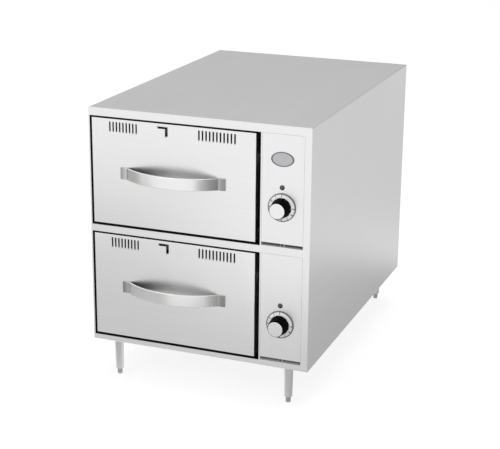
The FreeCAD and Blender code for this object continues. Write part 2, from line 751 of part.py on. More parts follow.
def make_cabinet_rail(level, name, side, wall):
    """Slide channel on the cavity's wall, with a roller's pin at its front."""
    body = new_body(f"cabinet_rail_{level}_{name}")
    sketch = new_sketch(body, "XZ", "rail_start")
    depth, gauge = f"{side} * rail_depth", f"{side} * rail_gauge"
    corners = (
        ("0", "0"),
        (depth, "0"),
        (depth, "rail_gauge"),
        (gauge, "rail_gauge"),
        (gauge, "rail_height - rail_gauge"),
        (depth, "rail_height - rail_gauge"),
        (depth, "rail_height"),
        ("0", "rail_height"),
    )
    add_chain(sketch, corners)
    pad(body, sketch, "rail_length", True)
    length = "roller_width + 2 * roller_play"
    add_pin(body, side, gauge, "rail_start + roller_setback", "axle_rise", length)
    place(body, f"opening_left + {wall}", "front", f"{level}_level + rail_rise")


def make_roller(label, x, y, z):
    """Steel roller with a bore, centred on its own width."""
    body = new_body(label)
    sketch = new_sketch(body, "YZ", "-roller_width / 2")
    add_circle(sketch, "0", "0", "roller_radius")
    add_circle(sketch, "0", "0", "pin_radius + pin_play")
    pad(body, sketch, "roller_width")
    place(body, x, y, z)


def make_slides(level):
    """Channels and their front rollers on both walls of a drawer's cavity."""
    for name, side, wall in (("left", "1", "cavity_left"), ("right", "-1", "opening_width")):
        make_cabinet_rail(level, name, side, wall)
        reach = "(rail_gauge + roller_play + roller_width / 2)"
        make_roller(
            f"cabinet_roller_{level}_{name}",
            f"opening_left + {wall} + {side} * {reach}",
            "front + rail_start + roller_setback",
            f"{level}_level + rail_rise + axle_rise",
        )


# ---------------------------------------------------------------- drawers


def cut_vents(body, start, depth, first, count, rounded=True):
    """One group of vent slots, round or square at their ends, through a sheet whose front
    face is at y = start."""
    sketch = new_sketch(body, "XZ", start)
    if rounded:
        add_slot(sketch, first, "vent_level", "vent_width", "vent_height")
    else:
        wide, high = "vent_width / 2", "vent_height / 2"
        left, right = f"{first} - {wide}", f"{first} + {wide}"
        add_rectangle(sketch, left, f"vent_level - {high}", right, f"vent_level + {high}")
    repeat(body, pocket(body, sketch, depth), "vent_pitch", count)


VENT_GROUPS = (
    ("notch_place - left_vents_shift", "left_vents"),
    ("notch_place + right_vents_shift", "right_vents"),
)


def make_drawer_front(level):
    """Hollow drawer front: the face, its returns, its vents and the shutter's two guides."""
    body = new_body(f"drawer_front_{level}")
    left, right = "face_gap", "face_gap + face_width"
    low, high = "face_gap", "face_gap + face_height"
    sketch = new_sketch(body, "XZ")
    add_rectangle(sketch, left, low, right, high)
    pad(body, sketch, "box_depth", True)
    hollow = new_sketch(body, "XZ", "box_depth")
    edge = "sheet_gauge"
    add_rectangle(hollow, f"{left} + {edge}", f"{low} + {edge}", f"{right} - {edge}", f"{high} - {edge}")
    pocket(body, hollow, "box_depth - sheet_gauge", True)
    fillet(body, "face_edge", lambda edge: edge.BoundBox.YMax < NEAR)
    for first, count in VENT_GROUPS:
        cut_vents(body, "0", "sheet_gauge", first, count)
    notch = new_sketch(body, "XZ")
    half, rise = "notch_width / 2", "notch_height / 2"
    add_rectangle(
        notch,
        f"notch_place - {half}",
        f"vent_level - {rise}",
        f"notch_place + {half}",
        f"vent_level + {rise}",
    )
    pocket(body, notch, "sheet_gauge")
    add_guides(body)
    place_in_bay(body, level)


def add_guides(body):
    """Angle strips above and below the shutter, that keep it against the drawer face."""
    inner = "shutter_back + shutter_gap"
    for side in ("-1", "1"):
        sketch = new_sketch(body, "YZ", "shutter_left - guide_end")
        edge = f"vent_level + {side} * (shutter_half + shutter_gap)"
        outer = f"vent_level + {side} * (shutter_half + shutter_gap + sheet_gauge)"
        lip = f"vent_level + {side} * (shutter_half + shutter_gap - guide_lip)"
        corners = (
            ("sheet_gauge", edge),
            (inner, edge),
            (inner, lip),
            (f"{inner} + sheet_gauge", lip),
            (f"{inner} + sheet_gauge", outer),
            ("sheet_gauge", outer),
        )
        add_chain(sketch, corners)
        pad(body, sketch, "shutter_right - shutter_left + 2 * guide_end")


def make_drawer_liner(level):
    """Plate that closes the drawer front from behind, open behind each group of vents."""
    body = new_body(f"drawer_liner_{level}")
    sketch = new_sketch(body, "XZ", "box_depth - sheet_gauge")
    left = "face_gap + sheet_gauge"
    right = "face_gap + face_width - sheet_gauge"
    add_rectangle(sketch, left, left, right, "opening_height - face_gap - sheet_gauge")
    for first, count in VENT_GROUPS:
        add_rectangle(
            sketch,
            f"{first} - vent_width",
            "vent_level - vent_height / 2",
            f"{first} + ({count} - 1) * vent_pitch + vent_width",
            "vent_level + vent_height / 2",
        )
    pad(body, sketch, "sheet_gauge", True)
    place_in_bay(body, level)


def make_shutter(level):
    """Sliding vent shutter whose finger tab is bent out of it through the notch."""
    body = new_body(f"vent_shutter_{level}")
    sketch = new_sketch(body, "XZ", "shutter_front")
    low, high = "vent_level - shutter_half", "vent_level + shutter_half"
    add_rectangle(sketch, "shutter_left", low, "shutter_right", high)
    pad(body, sketch, "shutter_gauge", True)
    for first, count in VENT_GROUPS:
        cut_vents(body, "shutter_front", "shutter_gauge", first, count, rounded=False)
    right, top = "tab_left + tab_width", "tab_foot + tab_height"
    inner = "tab_left + shutter_gauge"
    window = new_sketch(body, "XZ", "shutter_front")
    add_rectangle(window, inner, "tab_foot", f"{right} + tab_window", f"{top} + tab_window")
    pocket(body, window, "shutter_gauge")
    stem = new_sketch(body, "XZ", "shutter_front")
    add_rectangle(stem, "tab_left", "tab_foot", inner, top)
    pad(body, stem, "shutter_front + tab_reach")
    flag = new_sketch(body, "XZ", "shutter_gauge - tab_reach")
    add_rectangle(flag, "tab_left", "tab_foot", right, top)
    pad(body, flag, "shutter_gauge")
    place_in_bay(body, level)


def make_handle(level):
    """Flat strip bowed out between two flat feet."""
    body = new_body(f"handle_{level}")
    path = new_sketch(body, "XY")
    middle = "-handle_gauge / 2"
    corners = (
        ("-handle_width / 2", middle),
        ("-bow_half", middle),
        ("-bow_meet", f"{middle} - bow_lift"),
        ("bow_meet", f"{middle} - bow_lift"),
        ("bow_half", middle),
        ("handle_width / 2", middle),
    )
    arcs = {1: ("handle_bend", -1), 2: ("bow_radius", 1), 3: ("handle_bend", -1)}
    add_chain(path, corners, arcs, closed=False)
    profile = new_sketch(body, "YZ", "-handle_width / 2")
    add_rectangle(profile, "-handle_gauge", "-handle_height / 2", "0", "handle_height / 2")
    sweep(body, path, profile)
    fillet(body, "handle_edge", is_long_edge)
    place_in_bay(body, level, "face_middle", "opening_height / 2")


def is_long_edge(edge):
    """True for an edge along the handle's strip, above or below."""
    box = edge.BoundBox
    return box.ZLength < NEAR and edge.Length > value("handle_gauge") + NEAR


def place_in_bay(body, level, x="0", z="0", y="0"):
    """Set a body in its bay: from the drawer opening's lower left corner, on the front face."""
    place(body, f"opening_left + {x}", f"front + {y}", f"{level}_level + {z}")


def make_carrier(level):
    """Pan carrier: a deck with a window for the pan, webs below it, a front plate that is
    fixed to the drawer front and a pin for each rear roller."""
    body = new_body(f"pan_carrier_{level}")
    left, right = "cavity_left + deck_gap", "opening_width - deck_gap"
    deck = new_sketch(body, "XY", "deck_level")
    add_rectangle(deck, left, "box_depth", right, "carrier_back")
    half = "(well_width / 2 + pan_play)"
    reach = "(well_length / 2 + pan_play)"
    add_rectangle(
        deck,
        f"cavity_middle - {half}",
        f"pan_middle - {reach}",
        f"cavity_middle + {half}",
        f"pan_middle + {reach}",
    )
    pad(body, deck, "rail_gauge")
    webs = new_sketch(body, "XZ", "box_depth")
    outer_left, outer_right = "cavity_left + web_place", "opening_width - web_place"
    foot = "deck_level - web_drop"
    add_rectangle(webs, outer_left, foot, f"{outer_left} + rail_gauge", "deck_level")
    add_rectangle(webs, f"{outer_right} - rail_gauge", foot, outer_right, "deck_level")
    pad(body, webs, "carrier_length", True)
    for start, drop in (("box_depth", "front_plate"), ("carrier_back - rail_gauge", "web_drop")):
        cross = new_sketch(body, "XZ", start)
        add_rectangle(cross, outer_left, f"deck_level - {drop}", outer_right, "deck_level")
        pad(body, cross, "rail_gauge", True)
    y, z = "carrier_back - roller_setback", "rail_rise + axle_rise"
    length = "roller_width + 2 * roller_play"
    add_pin(body, "-1", outer_left, y, z, length)
    add_pin(body, "1", outer_right, y, z, length)
    place_in_bay(body, level)
    for name, root, side in (("left", outer_left, "-1"), ("right", outer_right, "1")):
        make_roller(
            f"drawer_roller_{level}_{name}",
            f"opening_left + {root} + {side} * (roller_play + roller_width / 2)",
            f"front + {y}",
            f"{level}_level + {z}",
        )


def make_pan(level):
    """Full-size food pan: a flat rim, a stacking collar and a tapering well with a round floor."""
    body = new_body(f"food_pan_{level}")

    def section(height, inset):
        sketch = new_sketch(body, "XY", height)
        corner = f"pan_corner - {inset}"
        add_rounded(sketch, f"well_width / 2 - {inset}", f"well_length / 2 - {inset}", corner)
        return sketch

    def well(kind, rise, gauge):
        feature = body.newObject(f"PartDesign::{kind}Loft", f"{body.Name}_well")
        feature.Profile = section(f"{rise} - pan_shoulder", f"(pan_step + {gauge})")
        feature.Sections = [section(f"{rise} - pan_depth", f"(pan_taper + {gauge})")]

    pad(body, section("0", "0"), "pan_shoulder", True)
    well("Additive", "0", "0")
    rim = new_sketch(body, "XY", "0")
    add_rounded(rim, "pan_width / 2", "pan_length / 2", "pan_corner + pan_rim")
    pad(body, rim, "pan_gauge")
    pocket(body, section("pan_gauge", "pan_gauge"), "pan_shoulder")
    well("Subtractive", "pan_gauge", "pan_gauge")
    for rise, radius in (("pan_gauge", "pan_floor_round - pan_gauge"), ("0", "pan_floor_round")):
        floor = value(f"{rise} - pan_depth")
        fillet(body, radius, lambda edge: abs(edge.BoundBox.ZMax - floor) < NEAR)
    place_in_bay(body, level, "cavity_middle", "deck_level + rail_gauge", "pan_middle")


# Where the strips stand along the element's straight legs.
CLIP_SHARES = ("0.05", "0.5", "0.95")


def make_element(level, floor):
    """Hairpin heating element on three strips that stand on the cavity's floor."""
    body = new_body(f"heating_element_{level}")
    path = new_sketch(body, "XY")
    far = "element_front + element_length"
    corners = (
        ("-element_bend", far),
        ("-element_bend", "element_front"),
        ("element_bend", "element_front"),
        ("element_bend", far),
    )
    points = [vector(*corner) for corner in corners]
    first = path.addGeometry(Part.LineSegment(points[0], points[1]), False)
    bend, _ = add_arc(path, points[1], points[2], "element_bend", 1)
    last = path.addGeometry(Part.LineSegment(points[2], points[3]), False)
    path.addConstraint(Sketcher.Constraint("Coincident", first, 2, bend, 1))
    path.addConstraint(Sketcher.Constraint("Coincident", bend, 2, last, 1))
    fix(path, "DistanceY", bend, 3, "element_front")
    fix_point(path, first, 1, *corners[0])
    fix_point(path, first, 2, *corners[1])
    fix_point(path, last, 1, *corners[2])
    fix_point(path, last, 2, *corners[3])
    profile = new_sketch(body, "XZ", far)
    add_circle(profile, "-element_bend", "0", "element_radius")
    sweep(body, path, profile)
    strips = new_sketch(body, "XY", f"{floor} - element_rise")
    half = "(element_bend + element_radius + clip_end)"
    for share in CLIP_SHARES:
        middle = f"element_front + {share} * element_length"
        near, beyond = f"{middle} - clip_width / 2", f"{middle} + clip_width / 2"
        add_rectangle(strips, f"-{half}", near, half, beyond)
    pad(body, strips, f"element_rise - ({floor})")
    place_in_bay(body, level, "cavity_middle", "element_rise")


# ---------------------------------------------------------------- controls


def is_lower_fold(edge):
    """True for the long outer edge of a control panel's fold."""
    box = edge.BoundBox
    low = value("slot_height") + NEAR
    return box.ZMax < low and box.YMax < NEAR and box.XLength > NEAR


def make_control_panel(level):
    """Control panel folded in along its lower edge, with a screw lug across the air slot."""
    body = new_body(f"control_panel_{level}")
    left, right = "panel_left + panel_gap", "panel_right - panel_gap"
    high = "opening_height - panel_gap"
    side_view = new_sketch(body, "YZ", left)
    corners = (
        ("0", high),
        ("0", "slot_height"),
        ("lip_depth", "slot_height"),
        ("lip_depth", "slot_height + sheet_gauge"),
        ("sheet_gauge", "slot_height + sheet_gauge"),
        ("sheet_gauge", high),
    )
    add_chain(side_view, corners)
    pad(body, side_view, f"{right} - ({left})")
    fillet(body, "panel_edge", is_lower_fold)
    lug = new_sketch(body, "XZ", "lug_front")
    half = "lug_width / 2"
    top = "slot_height + sheet_gauge"
    add_rectangle(lug, f"knob_place - {half}", "panel_gap", f"knob_place + {half}", top)
    pad(body, lug, "sheet_gauge", True)
    screw_hole = new_sketch(body, "XZ", "lug_front")
    add_circle(screw_hole, "knob_place", "lug_screw_rise", "panel_screw_radius + screw_play")
    pocket(body, screw_hole, "sheet_gauge")
    holes = new_sketch(body, "XZ")
    add_circle(holes, "knob_place", "knob_rise", "bushing_radius")
    add_circle(holes, "knob_place", "knob_rise + lamp_rise", "lamp_radius")
    pocket(body, holes, "sheet_gauge")
    place_in_bay(body, level)


def make_panel_screws():
    """One screw in each panel's lug."""
    screws = []
    for level in ("lower", "upper"):
        head = document.addObject("Part::Cylinder", f"panel_head_{level}")
        bind(head, "Radius", "panel_screw_head")
        bind(head, "Height", "screw_head_height")
        place_in_bay(head, level, "knob_place", "lug_screw_rise", "lug_front")
        shank = document.addObject("Part::Cylinder", f"panel_shank_{level}")
        bind(shank, "Radius", "panel_screw_radius")
        bind(shank, "Height", "panel_screw_length")
        place_in_bay(shank, level, "knob_place", "lug_screw_rise", "lug_front + panel_screw_length")
        for piece in (head, shank):
            piece.Placement.Rotation = FreeCAD.Rotation(FreeCAD.Vector(1, 0, 0), 90)
        screw = document.addObject("Part::Fuse", f"panel_screw_{level}")
        screw.Base = head
        screw.Tool = shank
        screws.append(screw)
    group = document.addObject("Part::Compound", "panel_screws")
    group.Label = "panel_screws"
    group.Links = screws
    subparts.append(group)


def make_thermostat(level):
    """Thermostat body behind the panel, with a neck in the panel's hole."""
    body = new_body(f"thermostat_{level}")
    half = "thermostat_width / 2"
    sketch = new_sketch(body, "XZ", "sheet_gauge")
    add_rounded(sketch, half, half, "bushing_radius")
    pad(body, sketch, "thermostat_depth", True)
    neck = new_sketch(body, "XZ", "sheet_gauge")
    add_circle(neck, "0", "0", "bushing_radius - shaft_play")
    pad(body, neck, "sheet_gauge")
    bore = new_sketch(body, "XZ")
    add_circle(bore, "0", "0", "shaft_radius + shaft_play")
    pocket(body, bore, "sheet_gauge + shaft_reach + bore_spare")
    place_in_bay(body, level, "knob_place", "knob_rise")


def make_shaft(level):
    """Control shaft with a flat on the end that the knob takes."""
    body = new_body(f"knob_shaft_{level}")
    sketch = new_sketch(body, "XZ", "sheet_gauge + shaft_reach")
    add_circle(sketch, "0", "0", "shaft_radius")
    pad(body, sketch, "sheet_gauge + knob_back + 2 * shaft_reach")
    flat = new_sketch(body, "XZ", "-knob_back - shaft_reach")
    wide = "2 * shaft_radius"
    add_rectangle(flat, f"-{wide}", "shaft_radius - shaft_flat", wide, wide)
    pocket(body, flat, "shaft_reach")
    place_in_bay(body, level, "knob_place", "knob_rise")


def make_dial(level):
    """Shallow dished skirt that turns with the knob."""
    body = new_body(f"dial_{level}")
    sketch = new_sketch(body, "YZ")
    near = "-(dial_gap + dial_dish)"
    corners = (
        (near, "shaft_radius + shaft_play"),
        (near, "knob_radius"),
        ("-dial_gap", "dial_radius"),
        ("-dial_gap - dial_gauge", "dial_radius"),
        (f"{near} - dial_gauge", "knob_radius"),
        (f"{near} - dial_gauge", "shaft_radius + shaft_play"),
    )
    add_chain(sketch, corners)
    revolve(body, sketch, "H_Axis")
    place_in_bay(body, level, "knob_place", "knob_rise")


def make_knob(level):
    """Fluted knob with a recess for its cap and a D-shaped bore for the shaft."""
    body = new_body(f"knob_{level}")
    sketch = new_sketch(body, "YZ")
    nose = "-knob_back - knob_length"
    corners = (
        ("-knob_back", "0"),
        ("-knob_back", "knob_radius"),
        (f"{nose} + nose_round", "knob_nose"),
        (nose, "knob_nose - nose_round"),
        (nose, "cap_radius + cap_play"),
        (f"{nose} + cap_seat", "cap_radius + cap_play"),
        (f"{nose} + cap_seat", "0"),
    )
    add_chain(sketch, corners, {2: ("nose_round", -1)})
    revolve(body, sketch, "H_Axis")
    groove = new_sketch(body, "XZ", "-knob_back")
    add_circle(groove, "0", "knob_radius + flute_radius - flute_depth", "flute_radius")
    cut = pocket(body, groove, "knob_length", True)
    flutes = body.newObject("PartDesign::PolarPattern", f"{body.Name}_flutes")
    flutes.Originals = [cut]
    flutes.Axis = (origin_part(body, "Y_Axis"), [""])
    flutes.Angle = 360
    bind(flutes, "Occurrences", "knob_flutes")
    body.Tip = flutes
    bore = new_sketch(body, "XZ", "-knob_back")
    radius = "shaft_radius + shaft_play"
    flat = "shaft_radius - shaft_flat + shaft_play"
    half = f"sqrt(({radius}) ^ 2 - ({flat}) ^ 2)"
    low = f"-({radius})"
    corners = ((half, flat), (f"-{half}", flat), ("0", low))
    add_chain(bore, corners, {1: (radius, 1), 2: (radius, 1)})
    pocket(body, bore, "shaft_reach + bore_spare", True)
    place_in_bay(body, level, "knob_place", "knob_rise")


def make_cap(level):
    """Bright disc in the knob's front."""
    body = new_body(f"knob_cap_{level}")
    sketch = new_sketch(body, "YZ")
    seat = "-knob_back - knob_length + cap_seat"
    corners = (
        (seat, "0"),
        (seat, "cap_radius"),
        (f"{seat} - cap_gauge + cap_edge", "cap_radius"),
        (f"{seat} - cap_gauge", "cap_radius - cap_edge"),
        (f"{seat} - cap_gauge", "0"),
    )
    add_chain(sketch, corners)
    revolve(body, sketch, "H_Axis")
    place_in_bay(body, level, "knob_place", "knob_rise")


def make_lamp(level):
    """Pilot lamp: a domed lens with a ring round it, and its body behind the panel."""
    body = new_body(f"pilot_lamp_{level}")
    sketch = new_sketch(body, "YZ")
    lens, ring = "lamp_radius - screw_play", "lamp_radius + bezel_width"
    corners = (
        ("sheet_gauge + lamp_depth", "0"),
        ("sheet_gauge + lamp_depth", ring),
        ("sheet_gauge", ring),
        ("sheet_gauge", lens),
        ("0", lens),
        ("0", ring),
        ("-bezel_gauge", ring),
        ("-bezel_gauge", lens),
        ("-lamp_reach", "0"),
    )
    sag = "(lamp_reach - bezel_gauge)"
    dome = f"((({lens}) ^ 2 + {sag} ^ 2) / (2 * {sag}))"
    add_chain(sketch, corners, {7: (dome, 1)})
    revolve(body, sketch, "H_Axis")
    place_in_bay(body, level, "knob_place", "knob_rise + lamp_rise")


def make_oval(name, inset, length):
    """Oval disc that stands along +Z, smaller than the oval plate by inset all round."""
    outline = document.addObject("Part::Ellipse", f"{name}_outline")
    bind(outline, "MajorRadius", f"plate_width / 2 - {inset}")
    bind(outline, "MinorRadius", f"plate_height / 2 - {inset}")
    disc = document.addObject("Part::Extrusion", name)
    disc.Base = outline
    disc.DirMode = "Custom"
    disc.Dir = FreeCAD.Vector(0, 0, 1)
    disc.Solid = True
    bind(disc, "LengthFwd", length)
    return disc


def make_oval_plate():
    """Bare oval plate with a raised rim, on the upper control panel."""
    blank = make_oval("oval_blank", "0", "plate_gauge + plate_rim_rise")
    recess = make_oval("oval_recess", "plate_rim", "plate_rim_rise")
    place(recess, "0", "0", "plate_gauge")
    plate = document.addObject("Part::Cut", "oval_plate")
    plate.Label = "oval_plate"
    plate.Base = blank
    plate.Tool = recess
    place_in_bay(plate, "upper", "knob_place", "plate_rise")
    plate.Placement.Rotation = FreeCAD.Rotation(FreeCAD.Vector(1, 0, 0), 90)
    subparts.append(plate)


def make_gland():
    """Cord inlet: a flanged barrel in the back, with a bore for the cord."""
    body = new_body("cord_gland")
    sketch = new_sketch(body, "YZ")
    corners = (
        ("-gland_inside", "gland_bore"),
        ("-gland_inside", "gland_radius - gland_play"),
        ("0", "gland_radius - gland_play"),
        ("0", "gland_flange"),
        ("gland_flange_height", "gland_flange"),
        ("gland_flange_height", "gland_radius"),
        ("gland_reach", "gland_radius - gland_taper"),
        ("gland_reach", "gland_bore"),
    )
    add_chain(sketch, corners)
    revolve(body, sketch, "H_Axis")
    place(body, "side - gland_place", "back", "leg_height + gland_rise")


def write_subparts():
    """Check every object, then write each sub-part to its file."""
    document.recompute()
    for item in document.Objects:
        if "Invalid" in item.State or "Error" in item.State:
            raise RuntimeError(f"{item.Name} failed: {item.State}")
    for item in subparts:
        if item.Shape.isNull() or not item.Shape.isValid():
            raise RuntimeError(f"{item.Label} has no valid shape")
    os.makedirs("parts", exist_ok=True)
    for item in subparts:
        item.Shape.exportStep(f"parts/{item.Label}.step")


make_wrapper()
make_front_frame()
make_base_pan()
make_back_panel()
make_back_screws()
make_divider()
make_shelf()
make_legs()
for bay, cavity_floor in (
    ("lower", "sheet_gauge - bottom_rail"),
    ("upper", "(sheet_gauge - middle_rail) / 2"),
):
    make_slides(bay)
    make_drawer_front(bay)
    make_drawer_liner(bay)
    make_shutter(bay)
    make_handle(bay)
    make_carrier(bay)
    make_pan(bay)
    make_element(bay, cavity_floor)
    make_control_panel(bay)
    make_thermostat(bay)
    make_shaft(bay)
    make_dial(bay)
    make_knob(bay)
    make_cap(bay)
    make_lamp(bay)
make_panel_screws()
make_oval_plate()
make_gland()
write_subparts()
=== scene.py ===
import math

import bmesh
import bpy
from mathutils import Matrix, Vector


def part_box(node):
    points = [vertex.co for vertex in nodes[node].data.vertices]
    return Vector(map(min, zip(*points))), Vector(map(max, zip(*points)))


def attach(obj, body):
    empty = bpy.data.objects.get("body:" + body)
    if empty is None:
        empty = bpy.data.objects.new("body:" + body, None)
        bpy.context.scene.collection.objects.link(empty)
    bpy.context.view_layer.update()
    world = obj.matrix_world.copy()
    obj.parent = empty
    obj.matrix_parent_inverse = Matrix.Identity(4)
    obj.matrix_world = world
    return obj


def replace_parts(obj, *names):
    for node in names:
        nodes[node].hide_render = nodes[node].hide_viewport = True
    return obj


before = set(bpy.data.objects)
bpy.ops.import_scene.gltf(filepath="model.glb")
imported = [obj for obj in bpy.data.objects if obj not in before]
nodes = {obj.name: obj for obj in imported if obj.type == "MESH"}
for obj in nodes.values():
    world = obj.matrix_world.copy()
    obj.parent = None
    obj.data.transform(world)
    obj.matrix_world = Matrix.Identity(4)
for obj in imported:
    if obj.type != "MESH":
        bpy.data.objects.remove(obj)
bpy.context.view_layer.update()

pieces = dict(nodes)

BAYS = ("lower", "upper")
FRONT_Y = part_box("front_frame")[0].y
TINY = 1e-6
SHARP = math.radians(35)

# ---------------------------------------------------------------- camera

CAMERA_PLACE = Vector((1.0374, -2.7546, 1.2112))
CAMERA_AZIMUTH = math.radians(20.915)
CAMERA_ELEVATION = math.radians(17.658)
CAMERA_ROLL = math.radians(0.54)
CAMERA_LENS = 96.17
SENSOR_WIDTH = 36.0


def make_camera():
    """Camera at the front right, above the cabinet's top."""
    data = bpy.data.cameras.new("camera")
    data.lens = CAMERA_LENS
    data.sensor_width = SENSOR_WIDTH
    camera = bpy.data.objects.new("camera", data)
    bpy.context.scene.collection.objects.link(camera)
    flat = math.cos(CAMERA_ELEVATION)
    forward = Vector(
        (
            -math.sin(CAMERA_AZIMUTH) * flat,
            math.cos(CAMERA_AZIMUTH) * flat,
            -math.sin(CAMERA_ELEVATION),
        )
    )
    level = forward.cross(Vector((0, 0, 1))).normalized()
    upright = level.cross(forward)
    right = level * math.cos(CAMERA_ROLL) + upright * math.sin(CAMERA_ROLL)
    up = right.cross(forward)
    turn = Matrix((right, up, -forward)).transposed()
    camera.rotation_mode = "QUATERNION"
    camera.rotation_quaternion = turn.to_quaternion()
    camera.location = CAMERA_PLACE
    bpy.context.scene.camera = camera


# ---------------------------------------------------------------- shader helpers


class Shader:
    """One material under construction: its node tree and its Principled shader."""

    def __init__(self, name):
        self.material = bpy.data.materials.new(name)
        self.material.use_nodes = True
        self.tree = self.material.node_tree
        self.surface = self.tree.nodes["Principled BSDF"]

    def add(self, kind, **values):
        """A node with its properties set."""
        node = self.tree.nodes.new(kind)
        for key, value in values.items():
            setattr(node, key, value)
        return node

    def link(self, source, target):
        """Join two sockets."""
        self.tree.links.new(source, target)

    def plain(self, **values):
        """Set constants on the Principled shader, by socket name with _ for spaces."""
        for key, value in values.items():
            self.surface.inputs[key.replace("_", " ")].default_value = value

    def place(self, scale=(1, 1, 1), centre=(0, 0, 0)):
        """Object coordinates about a centre, scaled per axis."""
        coordinates = self.add("ShaderNodeTexCoord")
        shift = self.add("ShaderNodeMapping")
        shift.inputs["Location"].default_value = [-value for value in centre]
        stretch = self.add("ShaderNodeMapping")
        stretch.inputs["Scale"].default_value = scale
        self.link(coordinates.outputs["Object"], shift.inputs["Vector"])
        self.link(shift.outputs["Vector"], stretch.inputs["Vector"])
        return stretch.outputs["Vector"]

    def group(self, name, **values):
        """A shared effect, with its inputs set."""
        node = self.add("ShaderNodeGroup")
        node.node_tree = bpy.data.node_groups[name]
        for key, value in values.items():
            socket = node.inputs[key.replace("_", " ")]
            if hasattr(value, "links"):
                self.link(value, socket)
            else:
                socket.default_value = value
        return node

    def feed(self, name, source):
        """Feed a socket to the Principled shader's input of that name."""
        self.link(source, self.surface.inputs[name])

    def spread(self, source, low, high, from_low=0.0, from_high=1.0):
        """Map a value from one range to another."""
        node = self.add("ShaderNodeMapRange")
        node.inputs["From Min"].default_value = from_low
        node.inputs["From Max"].default_value = from_high
        node.inputs["To Min"].default_value = low
        node.inputs["To Max"].default_value = high
        self.link(source, node.inputs["Value"])
        return node.outputs["Result"]

    def tint(self, mask, dark, light):
        """Blend two colours by a mask."""
        node = self.add("ShaderNodeMix", data_type="RGBA")
        node.inputs["A"].default_value = (*dark, 1)
        node.inputs["B"].default_value = (*light, 1)
        self.link(mask, node.inputs["Factor"])
        return node.outputs["Result"]

    def fade(self, mask, tone, colour):
        """Pass from a colour socket to a plain colour by a mask."""
        node = self.add("ShaderNodeMix", data_type="RGBA")
        self.link(mask, node.inputs["Factor"])
        self.link(tone, node.inputs["A"])
        node.inputs["B"].default_value = (*colour, 1)
        return node.outputs["Result"]

    def ramp(self, output, axis, low, high):
        """0 to 1 as one part of a texture coordinate goes from low to high."""
        coordinates = self.add("ShaderNodeTexCoord")
        parts = self.add("ShaderNodeSeparateXYZ")
        self.link(coordinates.outputs[output], parts.inputs["Vector"])
        return self.spread(parts.outputs[axis], 0.0, 1.0, low, high)

    def coordinate(self, axis, low, high):
        """0 to 1 as one object coordinate goes from low to high."""
        return self.ramp("Object", axis, low, high)

    def facing(self, axis, low, high):
        """0 to 1 as the surface turns towards one axis of the object."""
        return self.ramp("Normal", axis, low, high)

    def reach(self, centre, axes=(1, 0, 1)):
        """Distance from a centre, with each axis scaled; an axis of 0 doesn't count."""
        node = self.add("ShaderNodeVectorMath", operation="LENGTH")
        self.link(self.place(axes, centre), node.inputs[0])
        return node.outputs["Value"]

    def math(self, operation, first, second):
        """A math node in this material; each input is a number or a socket."""
        return combine(self.tree, operation, first, second)

    def bump(self, height, distance, strength=1.0):
        """Feed a height to the shader's normal."""
        node = self.add("ShaderNodeBump")
        node.inputs["Distance"].default_value = distance
        node.inputs["Strength"].default_value = strength
        self.link(height, node.inputs["Height"])
        self.feed("Normal", node.outputs["Normal"])


def new_group(name, inputs, outputs):
    """An empty node group with named float or vector inputs and float outputs."""
    tree = bpy.data.node_groups.new(name, "ShaderNodeTree")
    for label, kind, default in inputs:
        socket = tree.interface.new_socket(label, in_out="INPUT", socket_type=kind)
        if kind == "NodeSocketFloat":
            socket.default_value = default
    for label in outputs:
        tree.interface.new_socket(label, in_out="OUTPUT", socket_type="NodeSocketFloat")
    return tree, tree.nodes.new("NodeGroupInput"), tree.nodes.new("NodeGroupOutput")


def noise_in(tree, vector, scale, detail, roughness=0.6):
    """A noise texture in a group; vector and scale are sockets."""
    noise = tree.nodes.new("ShaderNodeTexNoise")
    noise.inputs["Detail"].default_value = detail
    noise.inputs["Roughness"].default_value = roughness
    tree.links.new(scale, noise.inputs["Scale"])
    tree.links.new(vector, noise.inputs["Vector"])
    return noise.outputs["Fac"]


def combine(tree, operation, first, second):
    """A math node in any tree; each input is a number or a socket."""
    node = tree.nodes.new("ShaderNodeMath")
    node.operation = operation
    for socket, value in zip(node.inputs, (first, second)):
        if hasattr(value, "links"):
            tree.links.new(value, socket)
        else:
            socket.default_value = value
    return node.outputs["Value"]


BROAD_STREAKS = 0.22
FINE_SHARE = 0.65
BROAD_SHARE = 0.35
SCUFF_FROM = 0.66
SCUFF_TO = 0.74


def make_grain_group():
    """Brushed grain: fine streaks and a few longer, fainter ones."""
    sockets = (("Vector", "NodeSocketVector", None), ("Streak Scale", "NodeSocketFloat", 1.0))
    tree, start, end = new_group("brushed grain", sockets, ("Grain",))
    fine = noise_in(tree, start.outputs["Vector"], start.outputs["Streak Scale"], 4.0, 0.7)
    broad_scale = combine(tree, "MULTIPLY", start.outputs["Streak Scale"], BROAD_STREAKS)
    broad = noise_in(tree, start.outputs["Vector"], broad_scale, 2.0)
    fine = combine(tree, "MULTIPLY", fine, FINE_SHARE)
    broad = combine(tree, "MULTIPLY", broad, BROAD_SHARE)
    tree.links.new(combine(tree, "ADD", fine, broad), end.inputs["Grain"])


def make_handling_group():
    """Handling: faint cloudy wipe marks, and tiny scattered scuffs."""
    sockets = (
        ("Vector", "NodeSocketVector", None),
        ("Cloud Scale", "NodeSocketFloat", 6.0),
        ("Scuff Scale", "NodeSocketFloat", 60.0),
    )
    tree, start, end = new_group("handling", sockets, ("Clouds", "Scuffs"))
    clouds = noise_in(tree, start.outputs["Vector"], start.outputs["Cloud Scale"], 4.0, 0.5)
    specks = noise_in(tree, start.outputs["Vector"], start.outputs["Scuff Scale"], 2.0)
    cut = tree.nodes.new("ShaderNodeMapRange")
    cut.inputs["From Min"].default_value = SCUFF_FROM
    cut.inputs["From Max"].default_value = SCUFF_TO
    tree.links.new(specks, cut.inputs["Value"])
    tree.links.new(clouds, end.inputs["Clouds"])
    tree.links.new(cut.outputs["Result"], end.inputs["Scuffs"])


# ---------------------------------------------------------------- finishes

